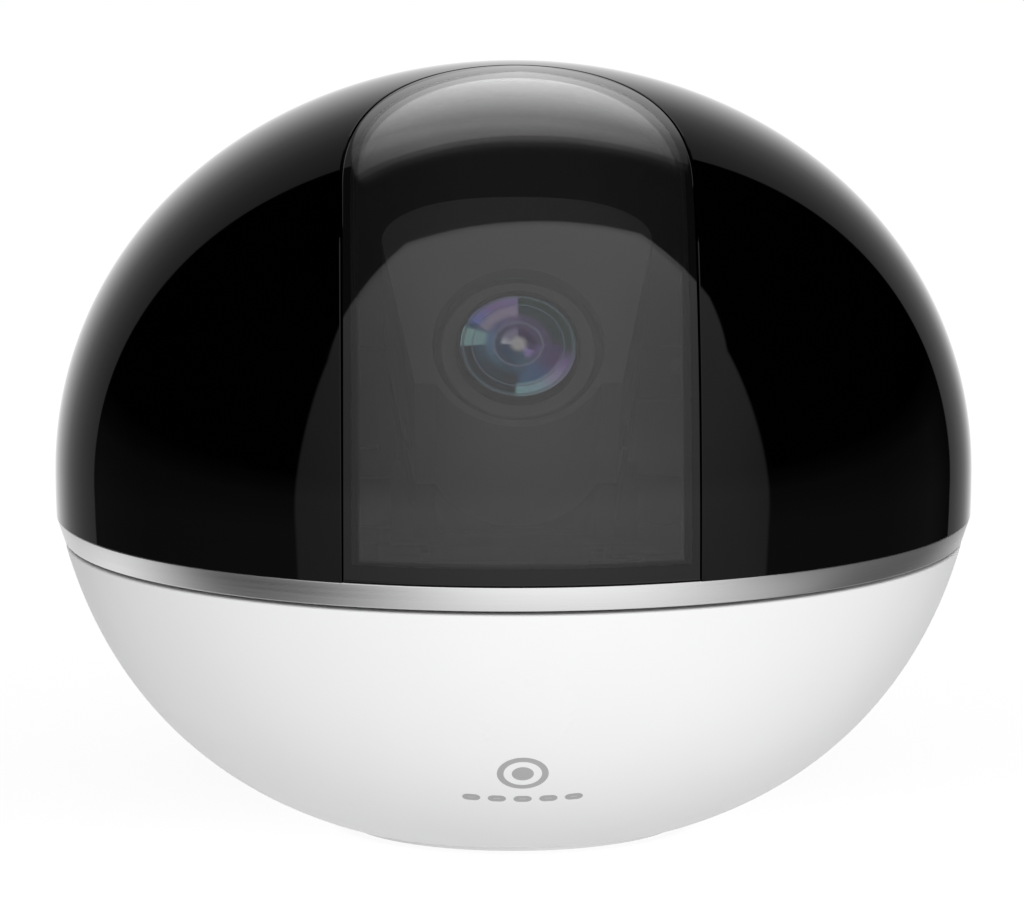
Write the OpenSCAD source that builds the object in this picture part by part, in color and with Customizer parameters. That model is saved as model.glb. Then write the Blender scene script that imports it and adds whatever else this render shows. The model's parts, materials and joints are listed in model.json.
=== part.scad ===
// Ball-shaped pan and tilt home camera, modelled as the separate pieces that it comes apart into.
// Z is up, the origin is the middle of the underside of the foot, and the window faces -Y.

/* [Dome] */
// Radius of the ball at its equator
dome_radius = 54; // [53:0.1:55]
// Height of the equator above the table
equator_z = 42; // [41.8:0.1:42.4]
// Height of the dome above the equator
dome_rise = 48; // [46:0.1:50]
// Exponent of the dome's superellipse, 2 is a true ellipse
dome_power = 2.037; // [2:0.001:2.1]
// Wall of the dome shell
dome_wall = 2.4; // [2:0.1:3]
// Height of the dome's rim
rim_z = 37; // [36.9:0.1:37.1]

/* [Window] */
// Half width of the arched seam between the window panel and the dome
arch_half_w = 20.15; // [18:0.05:22]
// Y where the straight sides of the arch turn into its half ellipse
arch_shoulder_y = -28; // [-30:0.1:-26]
// Length of the half ellipse of the arch, seen from above
arch_length = 26.5; // [24:0.1:28]
// Width of the seam
seam = 0.2; // [0.1:0.05:0.3]
// Thickness of the window panel
panel_t = 1.8; // [1.5:0.1:1.8]
// Half width of the clear opening behind the panel
clear_half_w = 19.1; // [17:0.1:19.5]
// Length of the half ellipse of the clear opening
clear_length = 21.7; // [20:0.1:23]
// Bottom of the clear opening
clear_bottom_z = 39.1; // [38.5:0.1:40]

/* [Base] */
// Top edge of the base bowl
bowl_top_z = 33.7; // [33.5:0.1:33.8]
// Height where the bowl's outer surface stops above the table
bowl_bottom_z = 0.8; // [0.7:0.1:0.9]
// Centre height of the bowl's superellipse
bowl_centre_z = 54.79; // [54.5:0.01:55]
// Half width of the bowl's superellipse
bowl_a = 55.27; // [55:0.01:55.5]
// Half height of the bowl's superellipse
bowl_b = 56.92; // [56.8:0.01:57]
// Exponent of the bowl's superellipse
bowl_power = 2.327; // [2.3:0.001:2.35]
// Wall of the bowl
bowl_wall = 2.2; // [2:0.1:2.4]
// Bottom edge of the silver trim ring
ring_bottom_z = 34.1; // [34:0.05:34.2]

/* [Tilt head] */
// Height of the tilt axis
tilt_z = 38; // [37.8:0.1:38.2]
// Angle of the lens above the horizon at rest
lens_elevation = 37; // [30:1:45]
// Distance from the tilt axis to the front of the lens
lens_reach = 40; // [39:0.1:40]
// Distance from the tilt axis to the front of the face plate
face_reach = 38.2; // [37.5:0.1:38.5]
// Radius of the lens barrel's head
lens_head_r = 6.9; // [6.6:0.1:7]
// Radius of the round recess in the face plate
face_hole_r = 9.75; // [9.5:0.05:9.8]

/* [Drives] */
// Module of the pan gears
pan_module = 0.6; // [0.6:0.1:0.6]
// Teeth of the fixed pan gear
pan_gear_teeth = 64; // [64:1:64]
// Teeth of the pan pinion
pan_pinion_teeth = 16; // [16:1:16]
// Module of the tilt gears
tilt_module = 0.5; // [0.5:0.1:0.5]
// Teeth of the tilt gear
tilt_gear_teeth = 42; // [42:1:42]
// Teeth of the tilt pinion
tilt_pinion_teeth = 30; // [30:1:30]
// Play between two meshing teeth, along the pitch circle
backlash = 0.16; // [0.1:0.01:0.2]

/* [Hidden] */
$fn = 96;
eps = 0.01;
far = 80;                     // reaches past the whole camera
running = 0.06;               // radial play of a part that turns in a hole
cover_top_z = 3.6;            // inner face of the bottom cover
floor_z = 5.2;                // inside floor of the bowl
board_z = 8;                  // underside of the main board
board_t = 1.6;
board_top_z = board_z + board_t;
foot_r = 20.2;                // outside of the rubber foot
foot_inner_r = 16.5;
foot_groove_z = 1.8;
cover_r = 21;
floor_hole_r = 14.5;          // opening in the bowl's floor
case_screw_r = 18.3;          // circle of the three long case screws
case_screw_angles = [90, 210, 330];
board_screw_r = 24;
board_screw_angles = [30, 150, 270];
leg_r = 3;
frame_z = 17;                 // underside of the fixed frame's plate
frame_t = 2;
gear_z = frame_z + frame_t;   // bottom of the fixed pan gear
pan_gear_t = 3.4;
hub_r = 8;                    // fixed hub that the turntable turns on
hub_bore_r = 5.5;
hub_top_z = 28.6;
washer_t = 0.8;
turntable_hub_z = gear_z + pan_gear_t + washer_t + 0.1;
deck_z = 26.5;                // upper face of the turntable's floor
deck_t = 2;
deck_r = 43.5;
turntable_wall = 1.7;
flange_r = 50.2;
flange_z = 34.6;
pan_distance = pan_module * (pan_gear_teeth + pan_pinion_teeth) / 2;
tilt_distance = tilt_module * (tilt_gear_teeth + tilt_pinion_teeth) / 2;
arm_x = 22;                   // inner face of the yoke's arms
arm_t = 2.5;
trunnion_r = 3;
bush_r = 4;
gear_x = 25.5;                // inner face of the tilt gear
tilt_gear_t = 3;
shield_y = 18;                // front of the shield behind the tilt head
shield_t = 1.6;
shield_z = 49.5;
speaker_angle = 135;          // direction of the speaker, seen from above, from +X
speaker_z = 13;               // height where its axis crosses the bowl's surface
speaker_tilt = 43.5;          // its axis points this far below the horizon
speaker_r = 8;
status_z = 22;                // centre of the round status window, on the bowl's front
status_tilt = 29;
status_r = 6.2;
card_angle = 55;
usb_z = 11.1;
reset_y = -11;
bracket_x = 10.5;             // keyhole slots for a wall bracket
tilt_parting_y = -14;         // where the tilt head's front and rear covers meet
tilt_wall = 1.5;
cover_screw_x = 12.2;         // seat of the screws that join those covers
cover_screw_y = -16.5;
carrier_r = 8.4;              // round lens holder and sensor board
steps = 24;                   // points along each curved profile

// ---- profiles ----

// Radius of the bowl's outer surface at height z
function bowl_radius(z) =
    bowl_a * pow(1 - pow((bowl_centre_z - z) / bowl_b, bowl_power), 1 / bowl_power);

// Superellipse angle at which the bowl's surface has height z
function bowl_angle(z) = asin(pow((bowl_centre_z - z) / bowl_b, bowl_power / 2));

// Point of a superellipse at angle t, moved inwards by inset along its normal
function super_point(a, b, n, t, inset) =
    let (
        nx = pow(cos(t), 2 - 2 / n) / a,
        ny = pow(sin(t), 2 - 2 / n) / b,
        len = norm([nx, ny])
    )
    [a * pow(cos(t), 2 / n) - inset * nx / len, b * pow(sin(t), 2 / n) - inset * ny / len];

// Dome profile from the rim up to the apex
function dome_profile(inset) = concat(
    [[dome_radius - 0.1 - inset, rim_z]],
    [
        for (i = [0 : steps])
            let (p = super_point(dome_radius, dome_rise, dome_power, 90 * i / steps, inset))
            [p[0], p[1] + equator_z]
    ]
);

// Bowl profile from z_low up to z_high
function bowl_profile(z_low, z_high, inset) = [
    for (i = [0 : steps])
        let (
            t = bowl_angle(z_low) + (bowl_angle(z_high) - bowl_angle(z_low)) * i / steps,
            p = super_point(bowl_a, bowl_b, bowl_power, t, inset)
        )
        [p[0], bowl_centre_z - p[1]]
];

function reversed(list) = [for (i = [len(list) - 1 : -1 : 0]) list[i]];

// ---- shared shapes ----

// Layer of the dome between two depths below its outer surface
module dome_layer(outer_inset, inner_inset) {
    rotate_extrude()
        polygon(concat(dome_profile(outer_inset), reversed(dome_profile(inner_inset))));
}

// Solid dome, inset from the outer surface
module dome_solid(inset) {
    rotate_extrude()
        polygon(concat([[0, rim_z]], dome_profile(inset)));
}

// Vertical prism whose plan is straight sided at the front and a half ellipse at the back
module arch_prism(half_w, length, bottom_z) {
    arc_steps = 40;
    translate([0, 0, bottom_z])
        linear_extrude(far)
            polygon(concat(
                [[-half_w, -far], [half_w, -far]],
                [
                    for (i = [0 : arc_steps])
                        let (t = 180 * i / arc_steps)
                        [half_w * cos(t), arch_shoulder_y + length * sin(t)]
                ]
            ));
}

module tube(outer_r, inner_r, h) {
    difference() {
        cylinder(r = outer_r, h = h);
        translate([0, 0, -1])
            cylinder(r = inner_r, h = h + 2);
    }
}

// Pan head screw pointing down, the underside of its head at z = 0
module screw(shank_r, length, head_r, head_h) {
    cylinder(r = head_r, h = head_h);
    translate([0, 0, -length])
        cylinder(r = shank_r, h = length + eps);
}

// Copies at the given angles on a circle about Z
module around(radius, angles) {
    for (a = angles)
        rotate(a)
            translate([radius, 0, 0])
                children();
}

// Frame of the tilt head: +X along the tilt axis, -Y along the lens
module in_tilt() {
    translate([0, 0, tilt_z])
        rotate([-lens_elevation, 0, 0])
            children();
}

// Turns a solid built along Z so that it runs along -Y, starting at y = 0
module forwards() {
    rotate([90, 0, 0])
        children();
}

// Turns a solid built along Z so that it runs along +X
module sideways() {
    rotate([0, 90, 0])
        children();
}

// Involute gear
function involute(angle) = tan(angle) * 180 / PI - angle;
function half_tooth(r, pitch_r, base_r, teeth) =
    90 / teeth - backlash / 4 / pitch_r * 180 / PI
    + involute(acos(base_r / pitch_r))
    - involute(acos(min(1, base_r / r)));
module gear(gear_module, teeth, thickness, bore_r) {
    pitch_r = gear_module * teeth / 2;
    base_r = pitch_r * cos(20);
    root_r = pitch_r - 1.2 * gear_module;
    tip_r = pitch_r + 0.9 * gear_module;
    low_r = max(root_r, base_r);
    radii = [root_r, low_r + 0.02, low_r + (tip_r - low_r) * 0.4, low_r + (tip_r - low_r) * 0.75, tip_r];
    outline = [
        for (k = [0 : teeth - 1], side = [-1, 1], i = [0 : 4])
            let (
                r = radii[side < 0 ? i : 4 - i],
                a = 360 * k / teeth + side * half_tooth(r, pitch_r, base_r, teeth)
            )
            [r * cos(a), r * sin(a)]
    ];
    difference() {
        linear_extrude(thickness)
            polygon(outline);
        translate([0, 0, -1])
            cylinder(r = bore_r, h = thickness + 2);
    }
}

// ---- base ----

// Places children on the bowl's surface at a height and direction, +Z pointing outwards along the normal
module on_bowl(direction, z, tilt_down) {
    rotate(direction)
        translate([bowl_radius(z), 0, z])
            rotate([0, 90 + tilt_down, 0])
                children();
}

module speaker_frame() {
    on_bowl(speaker_angle, speaker_z, speaker_tilt)
        children();
}

module status_frame() {
    on_bowl(-90, status_z, status_tilt)
        children();
}

module bowl_solid(inset) {
    rotate_extrude()
        polygon(concat(
            [[0, bowl_bottom_z]],
            bowl_profile(bowl_bottom_z, bowl_top_z, inset),
            [[0, bowl_top_z]]
        ));
}

module bowl_shell() {
    lip_r = bowl_radius(bowl_top_z) - bowl_wall;
    rotate_extrude()
        polygon(concat(
            [[cover_r + 0.1, cover_top_z], [cover_r + 0.1, bowl_bottom_z]],
            bowl_profile(bowl_bottom_z, bowl_top_z, 0),
            [[lip_r, bowl_top_z]],
            reversed(bowl_profile(floor_z + 1.5, bowl_top_z - 1, bowl_wall)),
            [[26, floor_z], [floor_hole_r, floor_z], [floor_hole_r, cover_top_z]]
        ));
}

module base_bowl() {
    usb_w = 12;
    usb_h = 7;
    corner = 1.5;
    card_w = 12.6;
    card_h = 2.1;
    seat_depth = 3;
    color("whitesmoke")
        difference() {
            union() {
                bowl_shell();
                around(board_screw_r, board_screw_angles)
                    translate([0, 0, floor_z - eps])
                        cylinder(r = 2.4, h = board_z - floor_z + eps);
                intersection() {
                    speaker_frame()
                        translate([0, 0, -seat_depth])
                            cylinder(r = speaker_r + 1.2, h = 6);
                    bowl_solid(1);
                }
            }
            around(board_screw_r, board_screw_angles)
                translate([0, 0, floor_z + 0.2])
                    cylinder(r = 0.9, h = 5);
            around(case_screw_r, case_screw_angles)
                translate([0, 0, cover_top_z - 1])
                    cylinder(r = 1.5, h = 5);
            // power socket opening at the back
            translate([0, 30, usb_z])
                rotate([-90, 0, 0])
                    linear_extrude(30) {
                        square([usb_w - 2 * corner, usb_h], center = true);
                        square([usb_w, usb_h - 2 * corner], center = true);
                        for (x = [-1, 1], y = [-1, 1])
                            translate([x * (usb_w / 2 - corner), y * (usb_h / 2 - corner)])
                                circle(r = corner);
                    }
            // memory card slot
            rotate(card_angle)
                translate([32, -card_w / 2, board_top_z - 0.1])
                    cube([20, card_w, card_h]);
            // speaker grille: one hole, a ring of six and a ring of twelve
            speaker_frame()
                for (ring = [0 : 2])
                    around(2.4 * ring, [for (i = [0 : max(1, 6 * ring) - 1]) 360 * i / max(1, 6 * ring)])
                        translate([0, 0, -6])
                            cylinder(r = 0.6, h = 12, $fn = 24);
            // sound chamber in front of the speaker
            speaker_frame()
                translate([0, 0, -seat_depth - 5])
                    cylinder(r = speaker_r - 1.2, h = 5 + seat_depth - bowl_wall);
            status_frame()
                translate([0, 0, -8])
                    cylinder(r = status_r + 0.05, h = 14);
        }
}

module bottom_cover() {
    color("dimgray")
        difference() {
            translate([0, 0, bowl_bottom_z])
                cylinder(r = cover_r, h = cover_top_z - bowl_bottom_z);
            translate([0, 0, -1])
                tube(foot_r + 0.1, foot_inner_r - 0.1, foot_groove_z + 1);
            around(case_screw_r, case_screw_angles) {
                translate([0, 0, -1])
                    cylinder(r = 1.35, h = 9);
                translate([0, 0, foot_groove_z - 1])
                    cylinder(r = 2.3, h = 2);
            }
            translate([0, 0, -1])
                cylinder(r = 4.5, h = 9);
            translate([0, reset_y, -1])
                cylinder(r = 1.5 + running, h = 9);
            for (x = [-bracket_x, bracket_x]) {
                translate([x, 0, -1])
                    cylinder(r = 3.2, h = 9);
                translate([x - 1.7, 0, -1])
                    cube([3.4, 5, 9]);
                translate([x, 5, -1])
                    cylinder(r = 1.7, h = 9);
            }
        }
}

module rubber_foot() {
    color("black")
        rotate_extrude()
            polygon([
                [foot_inner_r + 0.3, 0], [foot_r - 0.4, 0], [foot_r, 0.4],
                [foot_r, foot_groove_z], [foot_inner_r, foot_groove_z], [foot_inner_r, 0.3]
            ]);
}

// Brass insert with a tapped hole for a camera stand
module tripod_insert() {
    thread_r = 2.55;
    color("goldenrod")
        difference() {
            union() {
                translate([0, 0, bowl_bottom_z])
                    cylinder(r = 4.5, h = 6.4);
                translate([0, 0, cover_top_z])
                    cylinder(r = 5.6, h = 1);
            }
            translate([0, 0, -1])
                cylinder(r = thread_r, h = 7.4);
        }
}

module case_screws() {
    color("silver")
        around(case_screw_r, case_screw_angles)
            translate([0, 0, foot_groove_z + 1])
                rotate([180, 0, 0])
                    screw(1.2, 11, 2.2, 1);
}

module main_board() {
    color("darkgreen")
        difference() {
            union() {
                translate([0, 0, board_z])
                    cylinder(r = 30, h = board_t);
                translate([-6, 20, board_z])
                    cube([12, 10.6, board_t]);
            }
            around(case_screw_r, case_screw_angles)
                translate([0, 0, board_z - 1])
                    cylinder(r = leg_r + 0.3, h = 4);
            around(board_screw_r, board_screw_angles)
                translate([0, 0, board_z - 1])
                    cylinder(r = 1.15, h = 4);
        }
}

module board_screws() {
    color("silver")
        around(board_screw_r, board_screw_angles)
            translate([0, 0, board_top_z])
                screw(0.9, 3.8, 1.8, 1.1);
}

module processor_shield() {
    can = [13, 11.5, 2.2];
    color("lightgray")
        translate([-19, -2, board_top_z])
            difference() {
                cube(can);
                translate([0.3, 0.3, -1])
                    cube([can[0] - 0.6, can[1] - 0.6, can[2] + 0.7]);
            }
}

// Metal shell of the power socket, with its contact tongue
module usb_power_inlet() {
    shell_w = 7.6;
    shell_h = 2.9;
    back_y = 26;
    front_y = 36.9;
    color("silver") {
        difference() {
            translate([-shell_w / 2, back_y, board_top_z])
                cube([shell_w, front_y - back_y, shell_h]);
            translate([-shell_w / 2 + 0.35, back_y + 4, board_top_z + 0.35])
                cube([shell_w - 0.7, 20, shell_h - 0.7]);
        }
        translate([-1.9, back_y + 3.9, board_top_z + 1.25])
            cube([3.8, 6, 0.6]);
    }
}

module card_socket() {
    color("silver")
        rotate(card_angle)
            difference() {
                translate([19.5, -6, board_top_z])
                    cube([15, 12, 1.9]);
                translate([20.5, -5.5, board_top_z + 0.3])
                    cube([15, 11, 1.2]);
            }
}

module speaker() {
    color("black")
        speaker_frame()
            translate([0, 0, -7])
                rotate_extrude()
                    polygon([
                        [0, 0], [5, 0], [5, 1.2], [speaker_r, 1.8], [speaker_r, 4],
                        [speaker_r - 1.4, 4], [speaker_r - 3, 3.2], [0, 3.2]
                    ]);
}

module status_window() {
    color("white") {
        intersection() {
            status_frame()
                translate([0, 0, -6])
                    cylinder(r = status_r, h = 12);
            rotate_extrude()
                polygon(concat(
                    bowl_profile(14, bowl_top_z - 1, 0),
                    reversed(bowl_profile(14, bowl_top_z - 1, bowl_wall))
                ));
        }
        // light pipe behind the window
        status_frame()
            translate([0, 0, -3.4])
                cylinder(r = 2.4, h = 1.8);
    }
}

module light_board() {
    color("darkgreen")
        status_frame()
            translate([0, 0, -4.4])
                cylinder(r = 4, h = 1);
}

module reset_switch() {
    color("black")
        translate([-2, reset_y - 2, board_z - 1.4])
            cube([4, 4, 1.4]);
}

module reset_button() {
    color("dimgray")
        translate([0, reset_y, 0]) {
            translate([0, 0, 1.3])
                cylinder(r = 1.5, h = 4.7);
            translate([0, 0, cover_top_z + 0.05])
                cylinder(r = 2.2, h = 0.7);
        }
}

module loom_connector() {
    color("ivory")
        translate([-4, -3, board_top_z])
            difference() {
                cube([8, 6, 4]);
                translate([0.8, 0.8, 2.5])
                    cube([6.4, 4.4, 4]);
            }
}

// Fixed frame: plate on three legs, with the hollow hub that the turntable turns on
module base_frame() {
    groove_z = 27.1;
    groove_h = 1.2;
    color("darkslategray")
        difference() {
            union() {
                translate([0, 0, frame_z])
                    cylinder(r = 31, h = frame_t);
                translate([0, 0, frame_z])
                    cylinder(r = hub_r, h = hub_top_z - frame_z);
                around(case_screw_r, case_screw_angles)
                    translate([0, 0, floor_z])
                        cylinder(r = leg_r, h = frame_z - floor_z + eps);
            }
            translate([0, 0, frame_z - 1])
                cylinder(r = hub_bore_r, h = 20);
            translate([0, 0, groove_z])
                tube(hub_r + 1, hub_r - 0.6, groove_h);
            around(case_screw_r, case_screw_angles)
                translate([0, 0, floor_z - 1])
                    cylinder(r = 1.2, h = 10);
            around(14, board_screw_angles)
                translate([0, 0, frame_z - 1])
                    cylinder(r = 0.9, h = 4);
            // lightening holes between the legs
            around(24, [0, 60, 120, 180, 240, 300])
                translate([0, 0, frame_z - 1])
                    cylinder(r = 3.5, h = 4);
        }
}

module pan_gear() {
    color("ivory")
        translate([0, 0, gear_z])
            difference() {
                gear(pan_module, pan_gear_teeth, pan_gear_t, hub_r);
                around(14, board_screw_angles) {
                    translate([0, 0, -1])
                        cylinder(r = 0.9, h = 9);
                    translate([0, 0, pan_gear_t - 1])
                        cylinder(r = 1.8, h = 3);
                }
            }
}

module pan_gear_screws() {
    color("silver")
        around(14, board_screw_angles)
            translate([0, 0, gear_z + pan_gear_t - 1])
                screw(0.9, 4.2, 1.7, 1);
}

module thrust_washer() {
    color("white")
        translate([0, 0, gear_z + pan_gear_t])
            tube(12.1, hub_r + 0.2, washer_t);
}

// Split ring in the hub's groove, which keeps the turntable down
module retaining_ring() {
    color("silver")
        translate([0, 0, 27.15])
            difference() {
                tube(10.6, hub_r - 0.55, 1.1);
                translate([0, -1.2, -1])
                    cube([20, 2.4, 4]);
            }
}

// ---- pan head ----

module turntable() {
    boss_x = 19;
    boss_y = 6;
    color("darkslategray")
        difference() {
            union() {
                rotate_extrude()
                    polygon([
                        [hub_r + running, turntable_hub_z], [12, turntable_hub_z],
                        [12, deck_z - deck_t], [deck_r, deck_z - deck_t], [deck_r, flange_z],
                        [flange_r, flange_z], [flange_r, rim_z], [deck_r - turntable_wall, rim_z],
                        [deck_r - turntable_wall, deck_z], [12, deck_z], [12, 27],
                        [hub_r + running, 27]
                    ]);
                for (x = [-boss_x, boss_x], y = [-boss_y, boss_y])
                    translate([x, y, deck_z - deck_t - 1])
                        cylinder(r = 2.2, h = 1.5);
            }
            for (x = [-boss_x, boss_x], y = [-boss_y, boss_y])
                translate([x, y, 20])
                    cylinder(r = 1, h = 10);
            // pan motor shaft and its two screws
            translate([0, pan_distance, 20])
                cylinder(r = 2.6, h = 10);
            for (x = [-13, 13])
                translate([x, pan_distance, 20])
                    cylinder(r = 0.9, h = 10);
            // dome screws, their heads sunk in the flange's underside
            around(48.2, [45, 135, 225, 315]) {
                translate([0, 0, flange_z - 1])
                    cylinder(r = 1.35, h = 9);
            }
        }
}

module trim_ring() {
    outer_top = dome_radius - 0.1;
    outer_bottom = 52.9;
    inner = flange_r + 0.2;
    color("silver")
        rotate_extrude()
            polygon([
                [inner, ring_bottom_z], [outer_bottom - 0.3, ring_bottom_z],
                [outer_bottom, ring_bottom_z + 0.25], [outer_top, rim_z - 0.2],
                [outer_top - 0.2, rim_z], [inner, rim_z]
            ]);
}

// Glossy shell with an arched seat for the window and a ledge behind the window's edge
module dome_shell() {
    ledge_inset = 3.6;
    seat_inset = panel_t + 0.3;
    ledge_margin = 2.5;
    boss_r = 48.2;
    color("black")
        difference() {
            union() {
                dome_layer(0, dome_wall);
                intersection() {
                    dome_layer(seat_inset, ledge_inset);
                    arch_prism(arch_half_w + ledge_margin, arch_length + ledge_margin, 30);
                }
                intersection() {
                    around(boss_r, [45, 135, 225, 315])
                        translate([0, 0, rim_z])
                            linear_extrude(9) {
                                circle(r = 3);
                                translate([0, -3])
                                    square([6, 6]);
                            }
                    dome_solid(1);
                }
            }
            intersection() {
                dome_layer(-1, seat_inset);
                arch_prism(arch_half_w + seam / 2, arch_length + seam / 2, 30);
            }
            arch_prism(clear_half_w, clear_length, clear_bottom_z);
            around(boss_r, [45, 135, 225, 315])
                translate([0, 0, rim_z - 1])
                    cylinder(r = 1.1, h = 8);
        }
}

module window_panel() {
    color([0.05, 0.05, 0.06, 0.6])
        intersection() {
            dome_layer(0, panel_t);
            arch_prism(arch_half_w - seam / 2, arch_length - seam / 2, rim_z + 0.1);
        }
}

module window_adhesive() {
    color("black")
        difference() {
            intersection() {
                dome_layer(panel_t, panel_t + 0.3);
                arch_prism(arch_half_w - seam, arch_length - seam, rim_z + 0.1);
            }
            arch_prism(clear_half_w + 0.1, clear_length + 0.1, clear_bottom_z + 0.1);
        }
}

module dome_screws() {
    color("silver")
        around(48.2, [45, 135, 225, 315])
            translate([0, 0, flange_z])
                rotate([180, 0, 0])
                    screw(1.1, 8.5, 1.9, 0.8);
}

// One arm of the yoke, drawn in the YZ plane with Y across and Z up
module arm_outline(motor_side) {
    square_y = [-9, shield_y];
    translate([square_y[0], deck_z])
        square([square_y[1] - square_y[0], tilt_z - deck_z]);
    translate([0, tilt_z])
        circle(r = 9);
    translate([12, deck_z])
        square([6, 54 - deck_z]);
    if (motor_side)
        translate([tilt_distance, tilt_z])
            circle(r = 10);
}

// Turns a YZ outline into a plate standing at x
module plate_yz(x, thickness) {
    translate([x, 0, 0])
        rotate([90, 0, 90])
            linear_extrude(thickness)
                children();
}

module yoke_frame() {
    foot_x = 15.5;
    foot_t = 1.8;
    color("dimgray")
        difference() {
            union() {
                plate_yz(arm_x, arm_t)
                    arm_outline(true);
                plate_yz(-arm_x - arm_t, arm_t)
                    arm_outline(false);
                for (side = [0, 1])
                    mirror([side, 0, 0])
                        translate([foot_x, -9, deck_z])
                            cube([arm_x - foot_x + eps, 18, foot_t]);
                translate([-arm_x - eps, 15, 50])
                    cube([2 * arm_x + 2 * eps, 3, 4]);
            }
            translate([-40, 0, tilt_z])
                sideways()
                    cylinder(r = bush_r, h = 80);
            translate([arm_x - 1, tilt_distance, tilt_z])
                sideways()
                    cylinder(r = 2.6, h = 5);
            for (z = [-6, 6])
                translate([arm_x - 1, tilt_distance, tilt_z + z])
                    sideways()
                        cylinder(r = 0.9, h = 5);
            for (x = [-19, 19], y = [-6, 6])
                translate([x, y, deck_z - 1])
                    cylinder(r = 1.15, h = 5);
            for (x = [-20, 20])
                translate([x, 30, 52])
                    forwards()
                        cylinder(r = 0.9, h = 20);
        }
}

module yoke_screws() {
    color("silver")
        for (x = [-19, 19], y = [-6, 6])
            translate([x, y, deck_z + 1.8])
                screw(1, 4.6, 1.7, 1.1);
}

module trunnion_bushes() {
    color("white")
        for (side = [0, 1])
            mirror([side, 0, 0])
                translate([arm_x - 0.8, 0, tilt_z])
                    sideways() {
                        tube(bush_r, trunnion_r + running, arm_t + 0.8);
                        tube(5, trunnion_r + running, 0.8);
                    }
}

// Geared stepper motor: can, front boss with the shaft hole
module motor(can_r, length) {
    difference() {
        cylinder(r = can_r, h = length);
        translate([0, 0, -1])
            cylinder(r = 1 + running, h = 4.2);
    }
}

module pan_motor() {
    color("lightgray")
        translate([0, pan_distance, deck_z])
            difference() {
                union() {
                    motor(10, 11);
                    for (side = [0, 1])
                        mirror([side, 0, 0]) {
                            translate([9, -3, 0])
                                cube([4, 6, 0.9]);
                            translate([13, 0, 0])
                                cylinder(r = 3, h = 0.9);
                        }
                }
                for (x = [-13, 13])
                    translate([x, 0, -1])
                        cylinder(r = 1.1, h = 3);
            }
}

module pan_motor_screws() {
    color("silver")
        for (x = [-13, 13])
            translate([x, pan_distance, deck_z + 0.9])
                screw(0.9, 2.8, 1.6, 1);
}

module pan_pinion() {
    gear_gap = 0.3;
    color("ivory") {
        translate([0, pan_distance, gear_z + gear_gap])
            rotate(180 / pan_pinion_teeth - 90)
                gear(pan_module, pan_pinion_teeth, pan_gear_t - gear_gap, 0.9);
        translate([0, pan_distance, gear_z + gear_gap])
            cylinder(r = 1, h = deck_z + 3 - gear_z - gear_gap);
    }
}

module tilt_motor() {
    motor_r = 9.5;
    length = 10;
    color("lightgray")
        difference() {
            translate([arm_x, tilt_distance, tilt_z])
                rotate([0, -90, 0])
                    motor(motor_r, length);
            for (z = [-6, 6])
                translate([arm_x - 3, tilt_distance, tilt_z + z])
                    sideways()
                        cylinder(r = 0.9, h = 5);
        }
}

module tilt_motor_screws() {
    color("silver")
        for (z = [-6, 6])
            translate([arm_x + arm_t, tilt_distance, tilt_z + z])
                sideways()
                    screw(0.9, 5, 1.6, 0.7);
}

module tilt_pinion() {
    color("ivory") {
        translate([gear_x, tilt_distance, tilt_z])
            rotate([0, 90, 0])
                rotate(180 / tilt_pinion_teeth - 90)
                    gear(tilt_module, tilt_pinion_teeth, tilt_gear_t, 0.9);
        translate([arm_x - 3, tilt_distance, tilt_z])
            sideways()
                cylinder(r = 1, h = gear_x + tilt_gear_t - arm_x + 3);
    }
}

// Upright plate that hides the electronics behind the tilt head
module back_shield() {
    color("black")
        difference() {
            intersection() {
                union() {
                    translate([-60, shield_y, shield_z])
                        cube([120, shield_t, 60]);
                    for (x = [-20, 20], z = [56, 68])
                        translate([x, shield_y + 5.6, z])
                            forwards()
                                cylinder(r = 2, h = 5);
                }
                dome_solid(5.5);
            }
            for (x = [-20, 20])
                translate([x, 30, 52])
                    forwards()
                        cylinder(r = 1.1, h = 20);
            for (x = [-20, 20], z = [56, 68])
                translate([x, 30, z])
                    forwards()
                        cylinder(r = 0.8, h = 30 - shield_y - 0.6);
        }
}

module shield_screws() {
    color("silver")
        for (x = [-20, 20])
            translate([x, shield_y + shield_t, 52])
                rotate([-90, 0, 0])
                    screw(0.9, 4.3, 1.7, 1);
}

module head_board() {
    color("darkgreen")
        difference() {
            translate([-24, shield_y + 5.6, 53.5])
                cube([48, 1.4, 17.5]);
            for (x = [-20, 20], z = [56, 68])
                translate([x, 30, z])
                    forwards()
                        cylinder(r = 0.95, h = 20);
        }
}

module head_board_screws() {
    color("silver")
        for (x = [-20, 20], z = [56, 68])
            translate([x, shield_y + 7, z])
                rotate([-90, 0, 0])
                    screw(0.8, 5.6, 1.5, 1);
}

module wifi_module() {
    color("lightgray")
        translate([-5, shield_y + 7, 57])
            cube([12, 2, 11]);
}

module wifi_antenna() {
    color("gold")
        translate([-15, shield_y + shield_t, 72.5])
            cube([30, 0.8, 5]);
}

module microphone() {
    color("silver")
        translate([13.5, shield_y + 9.5, 62])
            forwards()
                cylinder(r = 3, h = 2.5);
}

// Flat and round cable from the main board, up through the hub, to the head's board
module wiring_loom() {
    flat_z = 29.2;
    flat_t = 1.2;
    run_x = -16;
    run_w = 5;
    rise_y = 31;
    top_z = 60;
    color("black") {
        translate([0, 0, board_top_z + 4.1])
            cylinder(r = 1.8, h = flat_z - board_top_z - 4);
        translate([run_x, -3, flat_z])
            cube([run_w - run_x - 3, 6, flat_t]);
        translate([run_x, -3, flat_z])
            cube([run_w, rise_y + 3, flat_t]);
        translate([run_x, rise_y - flat_t, flat_z])
            cube([run_w, flat_t, top_z - flat_z]);
        translate([run_x, shield_y + 7, top_z - flat_t])
            cube([run_w, rise_y - shield_y - 7, flat_t]);
    }
}

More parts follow.
